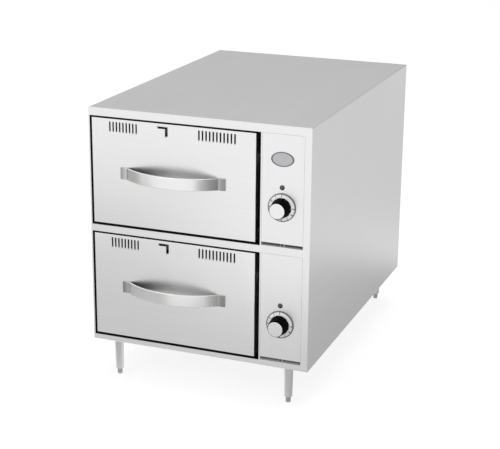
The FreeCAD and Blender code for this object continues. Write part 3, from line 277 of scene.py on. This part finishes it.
ALONG_WIDTH = (6, 700, 700)
ALONG_DEPTH = (700, 6, 700)
UPRIGHT = (700, 700, 6)
DRAW_LINES = (260, 260, 9)

GRAIN_CONTRAST = 0.06
GRAIN_DEPTH = 0.00002
GRAIN_ROUGHNESS = 0.07
SCUFF_ROUGHNESS = 0.08

UNPOLISHED = (0.8, 0.8, 0.8)
UNPOLISHED_FROM = 0.139
UNPOLISHED_EDGE = 0.0005
UNPOLISHED_METALLIC = 0.15
UNPOLISHED_ROUGHNESS = 0.25

MOULD_SPECK = 320.0
MOULD_GRAIN = 8
MOULD_DEPTH = 0.00005

DISC_RINGS = (0.3, 0.3, 0.3)
DISC_EDGE = (0.18, 0.18, 0.185)
DISC_EDGE_FADE = 0.0002

PAN_DARK = (0.66, 0.66, 0.66)
PAN_LIGHT = (0.76, 0.76, 0.76)
HEATED_BLUE = (0.16, 0.15, 0.16)
HEATED_STRAW = (0.34, 0.30, 0.25)
BADGE_DARK = (0.42, 0.42, 0.43)
BADGE_LIGHT = (0.54, 0.54, 0.55)
BADGE_RIM = (0.16, 0.16, 0.165)
BADGE_RIM_FROM = 0.86
BADGE_RIM_TO = 0.9


def brushed_steel(name, grain, colour, roughness, dull=None, tint=None):
    """Brushed stainless sheet whose grain runs along one axis. Behind the front by dull metres
    it is left unpolished beside the control column; tint gives masks and the shade that each
    darkens it to, painted shade as on a handle's ends and inner side."""
    shader = Shader(name)
    streaks = shader.group("brushed grain", Vector=shader.place(grain), Streak_Scale=1.0)
    streaks = streaks.outputs["Grain"]
    handled = shader.group("handling", Vector=shader.place(), Cloud_Scale=5.0, Scuff_Scale=90.0)
    dark = [value * (1 - GRAIN_CONTRAST) for value in colour]
    light = [min(value * (1 + GRAIN_CONTRAST), 1) for value in colour]
    tone = shader.tint(streaks, dark, light)
    rough = shader.math(
        "ADD",
        shader.spread(streaks, roughness - GRAIN_ROUGHNESS, roughness + GRAIN_ROUGHNESS),
        shader.spread(handled.outputs["Clouds"], -0.04, 0.05),
    )
    scuffed = shader.math("MULTIPLY", handled.outputs["Scuffs"], SCUFF_ROUGHNESS)
    rough = shader.math("ADD", rough, scuffed)
    for mask, shade in tint(shader) if tint else ():
        tone = shader.fade(mask, tone, [value * shade for value in colour])
    if dull is None:
        shader.plain(Metallic=1.0)
    else:
        edge = FRONT_Y + dull
        behind = shader.coordinate("Y", edge, edge + UNPOLISHED_EDGE)
        beside = shader.coordinate("X", UNPOLISHED_FROM, UNPOLISHED_FROM + TINY)
        inside = shader.math("MULTIPLY", behind, beside)
        tone = shader.fade(inside, tone, UNPOLISHED)
        rough = shader.math("ADD", rough, shader.math("MULTIPLY", inside, UNPOLISHED_ROUGHNESS))
        shader.feed("Metallic", shader.spread(inside, 1.0, UNPOLISHED_METALLIC))
    shader.feed("Base Color", tone)
    shader.feed("Roughness", rough)
    shader.bump(streaks, GRAIN_DEPTH, 0.5)
    return shader.material


def drawn_steel(name):
    """Bright deep-drawn sheet of a food pan, with faint vertical draw lines."""
    shader = Shader(name)
    shader.plain(Metallic=1.0)
    lines = shader.group("brushed grain", Vector=shader.place(DRAW_LINES), Streak_Scale=1.0)
    handled = shader.group("handling", Vector=shader.place(), Cloud_Scale=9.0, Scuff_Scale=160.0)
    shader.feed("Base Color", shader.tint(lines.outputs["Grain"], PAN_DARK, PAN_LIGHT))
    shader.feed("Roughness", shader.spread(handled.outputs["Clouds"], 0.2, 0.36))
    shader.bump(lines.outputs["Grain"], GRAIN_DEPTH, 0.3)
    return shader.material


def moulded(name, dark, light, roughness, gloss):
    """Moulded plastic, rubber or paint with a fine spark-eroded texture."""
    shader = Shader(name)
    shader.plain(Specular_IOR_Level=gloss)
    handled = shader.group(
        "handling", Vector=shader.place(), Cloud_Scale=30.0, Scuff_Scale=MOULD_SPECK
    )
    clouds = handled.outputs["Clouds"]
    shader.feed("Base Color", shader.tint(clouds, dark, light))
    shader.feed("Roughness", shader.spread(clouds, roughness - 0.06, roughness + 0.08))
    grain = shader.add("ShaderNodeTexNoise")
    grain.inputs["Scale"].default_value = MOULD_SPECK * MOULD_GRAIN
    shader.link(shader.place(), grain.inputs["Vector"])
    shader.bump(grain.outputs["Fac"], MOULD_DEPTH, 0.4)
    return shader.material


def plated(name, colour, roughness):
    """Zinc or nickel plating with a slightly mottled surface."""
    shader = Shader(name)
    shader.plain(Metallic=1.0)
    handled = shader.group("handling", Vector=shader.place(), Cloud_Scale=120.0, Scuff_Scale=400.0)
    clouds = handled.outputs["Clouds"]
    dark = [value * 0.85 for value in colour]
    shader.feed("Base Color", shader.tint(clouds, dark, colour))
    shader.feed("Roughness", shader.spread(clouds, roughness - 0.08, roughness + 0.12))
    return shader.material


def sheathed(name):
    """Heat-darkened sheath of a tubular element, straw to blue-grey."""
    shader = Shader(name)
    shader.plain(Metallic=0.85)
    handled = shader.group("handling", Vector=shader.place(), Cloud_Scale=18.0, Scuff_Scale=200.0)
    clouds = handled.outputs["Clouds"]
    shader.feed("Base Color", shader.tint(clouds, HEATED_BLUE, HEATED_STRAW))
    shader.feed("Roughness", shader.spread(clouds, 0.4, 0.6))
    return shader.material


def spun_disc(name, node, colour, pitch, roughness=0.22, edge=None):
    """Turned aluminium: fine rings about the middle of a node that faces the front, and a
    dark rolled edge from a radius outwards."""
    low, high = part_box(node)
    centre = (low + high) / 2
    shader = Shader(name)
    shader.plain(Metallic=1.0)
    rings = shader.add("ShaderNodeTexWave", wave_type="RINGS", rings_direction="Y")
    rings.inputs["Scale"].default_value = 1.0 / pitch
    rings.inputs["Distortion"].default_value = 0.4
    shader.link(shader.place(DISC_RINGS, centre), rings.inputs["Vector"])
    dark = [value * 0.9 for value in colour]
    tone = shader.tint(rings.outputs["Fac"], dark, colour)
    if edge:
        outside = shader.spread(shader.reach(centre), 0.0, 1.0, edge, edge + DISC_EDGE_FADE)
        tone = shader.fade(outside, tone, DISC_EDGE)
    shader.feed("Base Color", tone)
    shader.feed("Roughness", shader.spread(rings.outputs["Fac"], roughness, roughness + 0.12))
    return shader.material


def lens(name, dark, light):
    """Deep clear-coated lens of a pilot lamp, unlit."""
    shader = Shader(name)
    shader.plain(Coat_Weight=1.0, Coat_Roughness=0.03, IOR=1.5)
    handled = shader.group("handling", Vector=shader.place(), Cloud_Scale=200.0, Scuff_Scale=500.0)
    clouds = handled.outputs["Clouds"]
    shader.feed("Base Color", shader.tint(clouds, dark, light))
    shader.feed("Roughness", shader.spread(clouds, 0.12, 0.2))
    return shader.material


def badge(name):
    """Bare satin plate: a fine brush along the field and a darker rim."""
    low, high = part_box("oval_plate")
    middle = (low + high) / 2
    half = (high - low) / 2
    shader = Shader(name)
    shader.plain(Metallic=1.0)
    streaks = shader.group("brushed grain", Vector=shader.place(ALONG_WIDTH), Streak_Scale=1.3)
    streaks = streaks.outputs["Grain"]
    field = shader.tint(streaks, BADGE_DARK, BADGE_LIGHT)
    reach = shader.reach(middle, (1 / half.x, 0.0, 1 / half.z))
    rim = shader.spread(reach, 0.0, 1.0, BADGE_RIM_FROM, BADGE_RIM_TO)
    shader.feed("Base Color", shader.fade(rim, field, BADGE_RIM))
    shader.feed("Roughness", shader.spread(streaks, 0.26, 0.4))
    shader.bump(streaks, GRAIN_DEPTH / 2, 0.4)
    return shader.material


# ---------------------------------------------------------------- making pieces


def finish_piece(name, shell, body):
    """A new piece from a finished bmesh, smooth but for its sharp edges."""
    for face in shell.faces:
        face.smooth = True
    for edge in shell.edges:
        edge.smooth = len(edge.link_faces) == 2 and edge.calc_face_angle(0.0) < SHARP
    mesh = bpy.data.meshes.new(name)
    shell.to_mesh(mesh)
    shell.free()
    piece = bpy.data.objects.new(name, mesh)
    bpy.context.scene.collection.objects.link(piece)
    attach(piece, body)
    pieces[name] = piece
    return piece


# ---------------------------------------------------------------- vents

VENTS_LEFT = -0.052
VENTS_RIGHT = 0.056
FIRST_VENT = -0.04
VENTS_SHIFT = 0.0445
VENTS_STRETCH = 1.045
VENTED = (
    ("drawer_front", "vented_front", "drawer", "stainless"),
    ("drawer_liner", "vented_liner", "drawer", "inner_steel"),
    ("vent_shutter", "sliding_shutter", "vent_shutter", "inner_steel"),
)


def at_depth(item, depth):
    """Whether a face or an edge lies wholly at one depth."""
    return all(abs(corner.co.y - depth) < TINY for corner in item.verts)


def spread_vents(node, name, body):
    """Copy of a sheet with its right-hand vents, and what ends beyond them, further right.
    The flat faces that they pierce are filled again round their new places."""
    shell = bmesh.new()
    shell.from_mesh(nodes[node].data)
    bmesh.ops.remove_doubles(shell, verts=shell.verts, dist=TINY)
    carried = [corner for corner in shell.verts if VENTS_LEFT < corner.co.x < VENTS_RIGHT]
    depths = []
    for corner in carried:
        if all(abs(corner.co.y - depth) > TINY for depth in depths):
            depths.append(corner.co.y)
        corner.co.x = FIRST_VENT + VENTS_SHIFT + (corner.co.x - FIRST_VENT) * VENTS_STRETCH
    for depth in depths:
        flats = [face for face in shell.faces if at_depth(face, depth)]
        if not flats:
            continue
        facing = max((face.normal for face in flats), key=lambda normal: abs(normal.y)).copy()
        bmesh.ops.delete(shell, geom=flats, context="FACES")
        rims = [
            edge for edge in shell.edges if len(edge.link_faces) == 1 and at_depth(edge, depth)
        ]
        filled = bmesh.ops.triangle_fill(shell, edges=rims, use_beauty=True, normal=facing)
        filled = [item for item in filled["geom"] if isinstance(item, bmesh.types.BMFace)]
        turned = [face for face in filled if face.normal.dot(facing) < 0]
        bmesh.ops.reverse_faces(shell, faces=turned)
    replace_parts(finish_piece(name, shell, body), node)


def spread_all_vents():
    """Drawer fronts, liners and shutters with their right-hand vents in place."""
    for bay in BAYS:
        for node, name, body, slot in VENTED:
            spread_vents(f"{node}_{bay}", f"{name}_{bay}", f"{bay}_{body}")


# ---------------------------------------------------------------- seals of painted shade

OPENING_LEFT = -0.241
OPENING_RIGHT = 0.1375
OPENING_LEVELS = {"lower": (0.0985, 0.333), "upper": (0.35, 0.5845)}
SHADE_SEAL_THICK = 0.0006
SHADE_SEAL_DEEP = 0.015
# The lip's widths: widest below, painted shadow along the drawer's lower gap.
LIP_THICK = 0.0005
LIP_LEFT = 0.001
LIP_RIGHT = 0.0006
LIP_LOW = 0.0015
LIP_HIGH = 0.0003
LIP_ROUND = 0.0002


def add_frame_slab(shell, inner, outer, front, back):
    """Closed flat frame between two upright rectangles (left, right, low, high)."""
    corners = bmesh.ops.create_grid(shell, x_segments=1, y_segments=1, size=0.5)["verts"]
    opening = list(corners[0].link_faces)
    strip = bmesh.ops.inset_region(shell, faces=opening, thickness=0.1, use_boundary=True)
    strip = strip["faces"]
    hole = set(opening[0].verts)
    for corner in {corner for face in strip for corner in face.verts}:
        left, right, low, high = inner if corner in hole else outer
        corner.co = (left if corner.co.x < 0 else right, front, low if corner.co.y < 0 else high)
    bmesh.ops.delete(shell, geom=opening, context="FACES_ONLY")
    sleeve = bmesh.ops.extrude_face_region(shell, geom=strip, use_keep_orig=True)["geom"]
    ends = [item for item in sleeve if isinstance(item, bmesh.types.BMVert)]
    bmesh.ops.translate(shell, verts=ends, vec=(0, back - front, 0))


def make_seal(bay):
    """Black edging of a drawer's opening, painted shade of the gap round the drawer: a rounded lip
    on the frame's face, widest below for the gap's wider shadow there, and a thin sleeve behind
    it."""
    low, high = OPENING_LEVELS[bay]
    opening = (OPENING_LEFT, OPENING_RIGHT, low, high)
    inside = (
        OPENING_LEFT + SHADE_SEAL_THICK,
        OPENING_RIGHT - SHADE_SEAL_THICK,
        low + SHADE_SEAL_THICK,
        high - SHADE_SEAL_THICK,
    )
    lip = (OPENING_LEFT - LIP_LEFT, OPENING_RIGHT + LIP_RIGHT, low - LIP_LOW, high + LIP_HIGH)
    shell = bmesh.new()
    add_frame_slab(shell, inside, lip, FRONT_Y - LIP_THICK, FRONT_Y)
    bmesh.ops.recalc_face_normals(shell, faces=shell.faces[:])
    front = [
        edge
        for edge in shell.edges
        if all(end.co.y < FRONT_Y - LIP_THICK / 2 for end in edge.verts)
        and edge.calc_face_angle(0.0) > SHARP
    ]
    bmesh.ops.bevel(
        shell,
        geom=front,
        offset=LIP_ROUND,
        segments=2,
        profile=0.5,
        affect="EDGES",
        material=-1,
    )
    add_frame_slab(shell, inside, opening, FRONT_Y, FRONT_Y + SHADE_SEAL_DEEP)
    bmesh.ops.recalc_face_normals(shell, faces=shell.faces[:])
    finish_piece(f"opening_seal_{bay}", shell, "cabinet")


# ---------------------------------------------------------------- dial marks

DIAL_EDGE = 0.0273
DIAL_INNER = 0.021
DIAL_OUTER = 0.0295
DIAL_RISE = 0.0016
MARK_STEP = math.radians(30)
MARK_COUNT = 9
MARK_THICK = 0.00005
NUMERAL_SIZE = 0.0062
NUMERAL_BOLD = 0.00012
NUMERAL_RADIUS = 0.0253
TICK_RADIUS = 0.0222
TICK_SIZE = (0.0006, 0.0016)
OFF_BAR_SIZE = (0.0012, 0.0052)


def on_dial(bay, angle, radius):
    """Matrix that lays the XY plane on a dial's cone, upright to its centre, at an angle
    clockwise from the top."""
    low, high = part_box(f"dial_{bay}")
    slope = math.atan2(DIAL_RISE, DIAL_OUTER - DIAL_INNER)
    outward = Vector((math.sin(angle), 0, math.cos(angle)))
    across = Vector((math.cos(angle), 0, -math.sin(angle)))
    up = outward * math.cos(slope) + Vector((0, math.sin(slope), 0))
    normal = across.cross(up)
    place = Vector(((low.x + high.x) / 2, low.y, (low.z + high.z) / 2))
    place += outward * radius + Vector((0, (radius - DIAL_INNER) * math.tan(slope), 0))
    place += normal * MARK_THICK / 2
    return Matrix.Translation(place) @ Matrix((across, up, normal)).transposed().to_4x4()


def add_numeral(shell, word, place):
    """One printed numeral, laid at its place."""
    curve = bpy.data.curves.new("numeral", "FONT")
    curve.body = word
    curve.size = NUMERAL_SIZE
    curve.align_x = "CENTER"
    curve.align_y = "CENTER"
    curve.extrude = MARK_THICK
    curve.offset = NUMERAL_BOLD
    curve.resolution_u = 3
    holder = bpy.data.objects.new("numeral", curve)
    mesh = bpy.data.meshes.new_from_object(holder)
    mesh.transform(place)
    shell.from_mesh(mesh)
    bpy.data.objects.remove(holder)
    bpy.data.curves.remove(curve)
    bpy.data.meshes.remove(mesh)


def make_dial_marks(bay):
    """Printed numerals that rise against the knob's turn, a tick at each, and a bar for off."""
    shell = bmesh.new()
    for step in range(MARK_COUNT + 1):
        angle = -MARK_STEP * step
        size, radius = OFF_BAR_SIZE, NUMERAL_RADIUS
        if step:
            add_numeral(shell, str(step), on_dial(bay, angle, NUMERAL_RADIUS))
            size, radius = TICK_SIZE, TICK_RADIUS
        bar = Matrix.Diagonal((*size, 2 * MARK_THICK, 1))
        bmesh.ops.create_cube(shell, size=1, matrix=on_dial(bay, angle, radius) @ bar)
    bmesh.ops.remove_doubles(shell, verts=shell.verts, dist=TINY)
    finish_piece(f"dial_marks_{bay}", shell, f"{bay}_knob")


# ---------------------------------------------------------------- back screws

SCREW_ROWS = (0.1254, 0.2705, 0.4155, 0.5606)
SCREW_ASIDE = 0.2375
SCREW_TURN = 40
WASHER_RADIUS = 0.004
WASHER_TAPER = 0.92
WASHER_THICK = 0.0005
HEX_RADIUS = 0.003
HEX_HIGH = 0.0016
HEX_DISH = 0.0004
HEX_STEPS = ((0.16, 0.06 * HEX_RADIUS), (0.2, 0.0), (0.12, -HEX_DISH))


def add_hex_screw(shell, place):
    """Hex washer head, built up along Z from its seat: a tapered washer, a hexagon with a
    bevelled top, and the stamped dish in it."""
    start = len(shell.verts)
    disc = bmesh.ops.create_cone(
        shell,
        cap_ends=True,
        segments=32,
        radius1=WASHER_RADIUS,
        radius2=WASHER_RADIUS * WASHER_TAPER,
        depth=WASHER_THICK,
    )["verts"]
    bmesh.ops.translate(shell, verts=disc, vec=(0, 0, WASHER_THICK / 2))
    foot = bmesh.ops.create_circle(shell, cap_ends=True, segments=6, radius=HEX_RADIUS)["verts"]
    bmesh.ops.translate(shell, verts=foot, vec=(0, 0, WASHER_THICK / 2))
    seat = [face for face in foot[0].link_faces if len(face.verts) == 6]
    raised = bmesh.ops.extrude_face_region(shell, geom=seat)["geom"]
    corners = [item for item in raised if isinstance(item, bmesh.types.BMVert)]
    top = [item for item in raised if isinstance(item, bmesh.types.BMFace)]
    bmesh.ops.translate(shell, verts=corners, vec=(0, 0, HEX_HIGH))
    for share, depth in HEX_STEPS:
        bmesh.ops.inset_region(shell, faces=top, thickness=HEX_RADIUS * share, depth=depth)
    shell.verts.ensure_lookup_table()
    made = shell.verts[start:]
    faces = {face for corner in made for face in corner.link_faces}
    bmesh.ops.recalc_face_normals(shell, faces=list(faces))
    bmesh.ops.transform(shell, matrix=place, verts=made)


def make_back_screws():
    """Hex washer-head screws that hold the back panel, each turned its own way."""
    shell = bmesh.new()
    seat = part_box("back_screws")[0].y
    backwards = Matrix.Rotation(-math.pi / 2, 4, "X")
    for side in (-1, 1):
        for level in SCREW_ROWS:
            turn = backwards @ Matrix.Rotation(level * SCREW_TURN + side, 4, "Z")
            add_hex_screw(shell, Matrix.Translation((side * SCREW_ASIDE, seat, level)) @ turn)
    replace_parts(finish_piece("hex_screws", shell, "cabinet"), "back_screws")


# ---------------------------------------------------------------- dressing the pieces

STAINLESS = (0.83, 0.83, 0.828)
# The wrapper's steel is darker than the front's: painted shade of the top and sides.
SHADED_WRAPPER = (0.68, 0.68, 0.678)
HANDLE = (0.8, 0.8, 0.795)
LEG = (0.66, 0.66, 0.66)
MILL = (0.55, 0.55, 0.55)
CAP = (0.85, 0.85, 0.86)
CAP_PITCH = 0.0005
DIAL = (0.8, 0.8, 0.8)
DIAL_PITCH = 0.0008
DIAL_ROUGHNESS = 0.3
LENS_DARK = (0.016, 0.009, 0.008)
LENS_LIGHT = (0.036, 0.014, 0.011)

# Painted shade on a handle: where it is darkened, in metres from its ends, and to what share of
# its colour.
# The ends stand in for the darker look where the strip bends to the face; the inner side darkens
# its reflection in the face behind, and more so on the left, painted shadow in the narrow gap
# there.
END_PAINTED_SHADE = 0.36
LEFT_END_SHADE = 0.024
RIGHT_END_SHADE_FROM = 0.04
RIGHT_END_SHADE_TO = 0.006
INNER_PAINTED_SHADE = 0.6
GAP_PAINTED_SHADE = 0.03
GAP_SHADE_FROM = 0.05
GAP_SHADE_TO = 0.11

# Finish, grain, colour, roughness, depth from which it is unpolished, and the pieces.
BRUSHED = (
    ("stainless wrapper", ALONG_DEPTH, SHADED_WRAPPER, 0.38, None, ("wrapper",)),
    ("stainless frame", ALONG_WIDTH, STAINLESS, 0.36, 0.0013, ("front_frame",)),
    ("stainless front", ALONG_WIDTH, STAINLESS, 0.36, None, ("drawer_front_*", "vented_front_*")),
    ("stainless panel", UPRIGHT, STAINLESS, 0.36, 0.0025, ("control_panel_*",)),
    ("stainless leg", UPRIGHT, LEG, 0.3, None, ("leg_*",)),
    (
        "mill finish sheet",
        ALONG_DEPTH,
        MILL,
        0.42,
        None,
        ("divider", "middle_shelf", "base_pan", "back_panel", "pan_carrier_*"),
    ),
    ("mill finish liner", ALONG_WIDTH, MILL, 0.42, None, ("drawer_liner_*", "vented_liner_*")),
    ("shutter sheet", ALONG_WIDTH, STAINLESS, 0.36, None, ("vent_shutter_*", "sliding_shutter_*")),
)

# Finish, darker and lighter colour, roughness, specular level, and the pieces.
MOULDED = (
    ("coated slide", (0.03, 0.03, 0.032), (0.05, 0.05, 0.052), 0.45, 0.5, "cabinet_rail_*"),
    ("printed ink", (0.012, 0.012, 0.012), (0.02, 0.02, 0.02), 0.5, 0.2, "dial_marks_*"),
    ("thermostat case", (0.05, 0.05, 0.055), (0.08, 0.08, 0.085), 0.4, 0.5, "thermostat_*"),
    ("gland nylon", (0.02, 0.02, 0.02), (0.03, 0.03, 0.03), 0.45, 0.5, "cord_gland"),
    # Black seals: painted shade in the gaps round the drawers.
    ("black painted shade", (0.005, 0.005, 0.005), (0.009, 0.009, 0.009), 0.6, 0.1, "opening_seal_*"),
)
PHENOLIC = ((0.001, 0.001, 0.001), (0.002, 0.002, 0.002), 0.5, 0.015)

# Finish, colour, roughness, and the pieces.
PLATED = (
    ("plated steel", (0.62, 0.62, 0.63), 0.25, ("hex_screws", "knob_shaft_*")),
    ("foot steel", (0.42, 0.42, 0.43), 0.35, ("foot_*",)),
    # The panel screws are given a dark colour.
    ("dark screw", (0.05, 0.05, 0.055), 0.4, ("panel_screws",)),
    ("roller steel", (0.16, 0.16, 0.165), 0.35, ("cabinet_roller_*", "drawer_roller_*")),
)


def dress(material, *names):
    """Give pieces one finish; a name ending in * takes every piece that starts so."""
    for name in names:
        chosen = [name]
        if name.endswith("*"):
            chosen = [key for key in pieces if key.startswith(name[:-1])]
        for key in chosen:
            mesh = pieces[key].data
            mesh.materials.clear()
            mesh.materials.append(material)


def weld_heat(low, high):
    """Masks and shades of the painted shade on a handle: at its ends, on its inner side, and
    darker still on the left part of that side, where the gap to the face is narrow."""

    def masks(shader):
        left = shader.coordinate("X", low + LEFT_END_SHADE, low)
        right = shader.coordinate("X", high - RIGHT_END_SHADE_FROM, high - RIGHT_END_SHADE_TO)
        inner = shader.facing("Y", 0.1, 0.3)
        gap_shaded = shader.coordinate("X", low + GAP_SHADE_TO, low + GAP_SHADE_FROM)
        return (
            (shader.math("MAXIMUM", left, right), END_PAINTED_SHADE),
            (inner, INNER_PAINTED_SHADE),
            (shader.math("MULTIPLY", inner, gap_shaded), GAP_PAINTED_SHADE),
        )

    return masks


def dress_pieces():
    """Finishes of the CAD nodes and of the pieces made here."""
    for name, grain, colour, roughness, dull, names in BRUSHED:
        dress(brushed_steel(name, grain, colour, roughness, dull), *names)
    for name, dark, light, roughness, gloss, names in MOULDED:
        dress(moulded(name, dark, light, roughness, gloss), names)
    for name, colour, roughness, names in PLATED:
        dress(plated(name, colour, roughness), *names)
    # Painted shade at the handle's ends and in the gap behind it.
    low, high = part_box("handle_lower")
    handle_shade = weld_heat(low.x, high.x)
    dress(brushed_steel("stainless handle", ALONG_WIDTH, HANDLE, 0.22, tint=handle_shade), "handle_*")
    dress(moulded("black phenolic", *PHENOLIC), "knob_lower", "knob_upper")
    dress(drawn_steel("drawn pan steel"), "food_pan_*")
    dress(sheathed("heated sheath"), "heating_element_*")
    dress(lens("lamp lens", LENS_DARK, LENS_LIGHT), "pilot_lamp_*")
    dress(badge("badge satin"), "oval_plate")
    for bay in BAYS:
        cap, dial = f"knob_cap_{bay}", f"dial_{bay}"
        dress(spun_disc(f"spun cap {bay}", cap, CAP, CAP_PITCH), cap)
        dress(spun_disc(f"dial {bay}", dial, DIAL, DIAL_PITCH, DIAL_ROUGHNESS, DIAL_EDGE), dial)


# ---------------------------------------------------------------- studio

FLOOR_SIDE = 24.0
FLOOR_COLOUR = 0.4
FLOOR_GLOW = 0.75
WORLD_LIGHT = 0.6
LAMP_TARGET = Vector((0.0, 0.0, 0.35))
FACING_FRONT = (0, -1, 0)
FACING_UP = (0, 0, 1)

# Name, place, side and power of each square lamp.
LAMPS = (
    ("key", (-1.6, -3.0, 2.4), 1.6, 16),
    ("fill", (2.6, -2.4, 1.6), 1.6, 4),
    ("top", (0.0, 0.4, 3.2), 2.0, 20),
)

# Name, centre, facing, width, height, glow and edge softness of each card.
# The cards glow darker than the white floor and backdrop and show only in the metal: painted
# reflections; those on the floor by the cabinet paint the floor's shadow into it.
CARDS = (
    ("back card", (0.0, 3.2, 2.4), FACING_FRONT, 10.0, 4.4, 0.61, 12.0),
    ("left floor card", (-0.95, -0.75, 0.002), FACING_UP, 1.4, 1.3, 0.5, 8.0),
    ("front floor card", (-0.05, -0.62, 0.003), FACING_UP, 1.5, 0.62, 0.64, 8.0),
    ("right floor card", (0.45, 0.0, 0.002), FACING_UP, 0.6, 1.4, 0.56, 8.0),
    ("right back card", (1.2, 2.2, 0.002), FACING_UP, 2.6, 3.0, 0.84, 8.0),
    ("right front card", (1.1, -1.5, 0.002), FACING_UP, 1.3, 1.3, 0.25, 8.0),
    ("left side card", (-1.9, -0.5, 0.002), FACING_UP, 1.2, 1.2, 0.4, 8.0),
)


def seen_directly(tree):
    """1 on camera, glossy and transmission rays, 0 on the rays that light the object."""
    path = tree.nodes.new("ShaderNodeLightPath")
    either = combine(tree, "MAXIMUM", path.outputs["Is Camera Ray"], path.outputs["Is Glossy Ray"])
    return combine(tree, "MAXIMUM", either, path.outputs["Is Transmission Ray"])


def make_world():
    """White to the camera and in reflections, a plain light grey to everything else."""
    world = bpy.data.worlds.new("studio")
    bpy.context.scene.world = world
    world.use_nodes = True
    tree = world.node_tree
    background = tree.nodes["Background"]
    level = tree.nodes.new("ShaderNodeMapRange")
    level.inputs["To Min"].default_value = WORLD_LIGHT
    level.inputs["To Max"].default_value = 1.0
    tree.links.new(seen_directly(tree), level.inputs["Value"])
    tree.links.new(level.outputs["Result"], background.inputs["Strength"])
    background.inputs["Color"].default_value = (1, 1, 1, 1)


def make_sheet(name, place):
    """A flat stage piece: a unit square with its own UV map, carried to its place by a matrix."""
    sheet = bmesh.new()
    sheet.loops.layers.uv.new("UVMap")
    bmesh.ops.create_grid(sheet, x_segments=1, y_segments=1, size=0.5, calc_uvs=True)
    bmesh.ops.transform(sheet, matrix=place, verts=sheet.verts)
    mesh = bpy.data.meshes.new(name)
    sheet.to_mesh(mesh)
    sheet.free()
    piece = bpy.data.objects.new(name, mesh)
    bpy.context.scene.collection.objects.link(piece)
    return piece


def make_floor():
    """White floor that keeps a soft shadow."""
    floor = make_sheet("floor", Matrix.Diagonal((FLOOR_SIDE, FLOOR_SIDE, 1, 1)))
    shader = Shader("floor paper")
    shader.plain(Base_Color=(FLOOR_COLOUR, FLOOR_COLOUR, FLOOR_COLOUR, 1), Roughness=0.9)
    shader.plain(Emission_Color=(1, 1, 1, 1), Specular_IOR_Level=0.0)
    glow = combine(shader.tree, "MULTIPLY", seen_directly(shader.tree), FLOOR_GLOW)
    shader.feed("Emission Strength", glow)
    floor.data.materials.append(shader.material)


def make_lamp(name, place, size, power):
    """A square soft lamp aimed at the cabinet."""
    data = bpy.data.lights.new(name, "AREA")
    data.shape = "SQUARE"
    data.size = size
    data.energy = power
    lamp = bpy.data.objects.new(name, data)
    bpy.context.scene.collection.objects.link(lamp)
    lamp.location = place
    lamp.rotation_mode = "QUATERNION"
    lamp.rotation_quaternion = (LAMP_TARGET - Vector(place)).to_track_quat("-Z", "Y")


def make_card(name, centre, facing, width, height, glow, softness):
    """A softly glowing card that shows in the metal alone, a painted reflection; its edges fade
    out.
    """
    aim = Vector(facing).to_track_quat("Z", "Y").to_matrix().to_4x4()
    size = Matrix.Diagonal((width, height, 1, 1))
    card = make_sheet(name, Matrix.Translation(centre) @ aim @ size)
    card.visible_camera = False
    card.visible_diffuse = False
    card.visible_transmission = False
    card.visible_shadow = False
    # The card's glow is a painted reflection.
    material = bpy.data.materials.new(f"{name} paper")
    material.use_nodes = True
    tree = material.node_tree
    tree.nodes.remove(tree.nodes["Principled BSDF"])
    light = tree.nodes.new("ShaderNodeEmission")
    light.inputs["Color"].default_value = (glow, glow, glow, 1)
    coordinates = tree.nodes.new("ShaderNodeTexCoord")
    parts = tree.nodes.new("ShaderNodeSeparateXYZ")
    tree.links.new(coordinates.outputs["UV"], parts.inputs["Vector"])
    fades = []
    for axis in "XY":
        rest = combine(tree, "SUBTRACT", 1.0, parts.outputs[axis])
        hump = combine(tree, "MULTIPLY", parts.outputs[axis], rest)
        fades.append(combine(tree, "MINIMUM", combine(tree, "MULTIPLY", hump, softness), 1.0))
    clear = tree.nodes.new("ShaderNodeBsdfTransparent")
    blend = tree.nodes.new("ShaderNodeMixShader")
    tree.links.new(combine(tree, "MULTIPLY", *fades), blend.inputs["Fac"])
    tree.links.new(clear.outputs["BSDF"], blend.inputs[1])
    tree.links.new(light.outputs["Emission"], blend.inputs[2])
    tree.links.new(blend.outputs["Shader"], tree.nodes["Material Output"].inputs["Surface"])
    card.data.materials.append(material)


def make_studio():
    """Lamps, cards, floor and background."""
    make_world()
    make_floor()
    for lamp in LAMPS:
        make_lamp(*lamp)
    for card in CARDS:
        make_card(*card)


make_camera()
make_grain_group()
make_handling_group()
spread_all_vents()
for bay in BAYS:
    make_seal(bay)
    make_dial_marks(bay)
make_back_screws()
dress_pieces()
make_studio()
bpy.context.scene.view_settings.view_transform = "Standard"
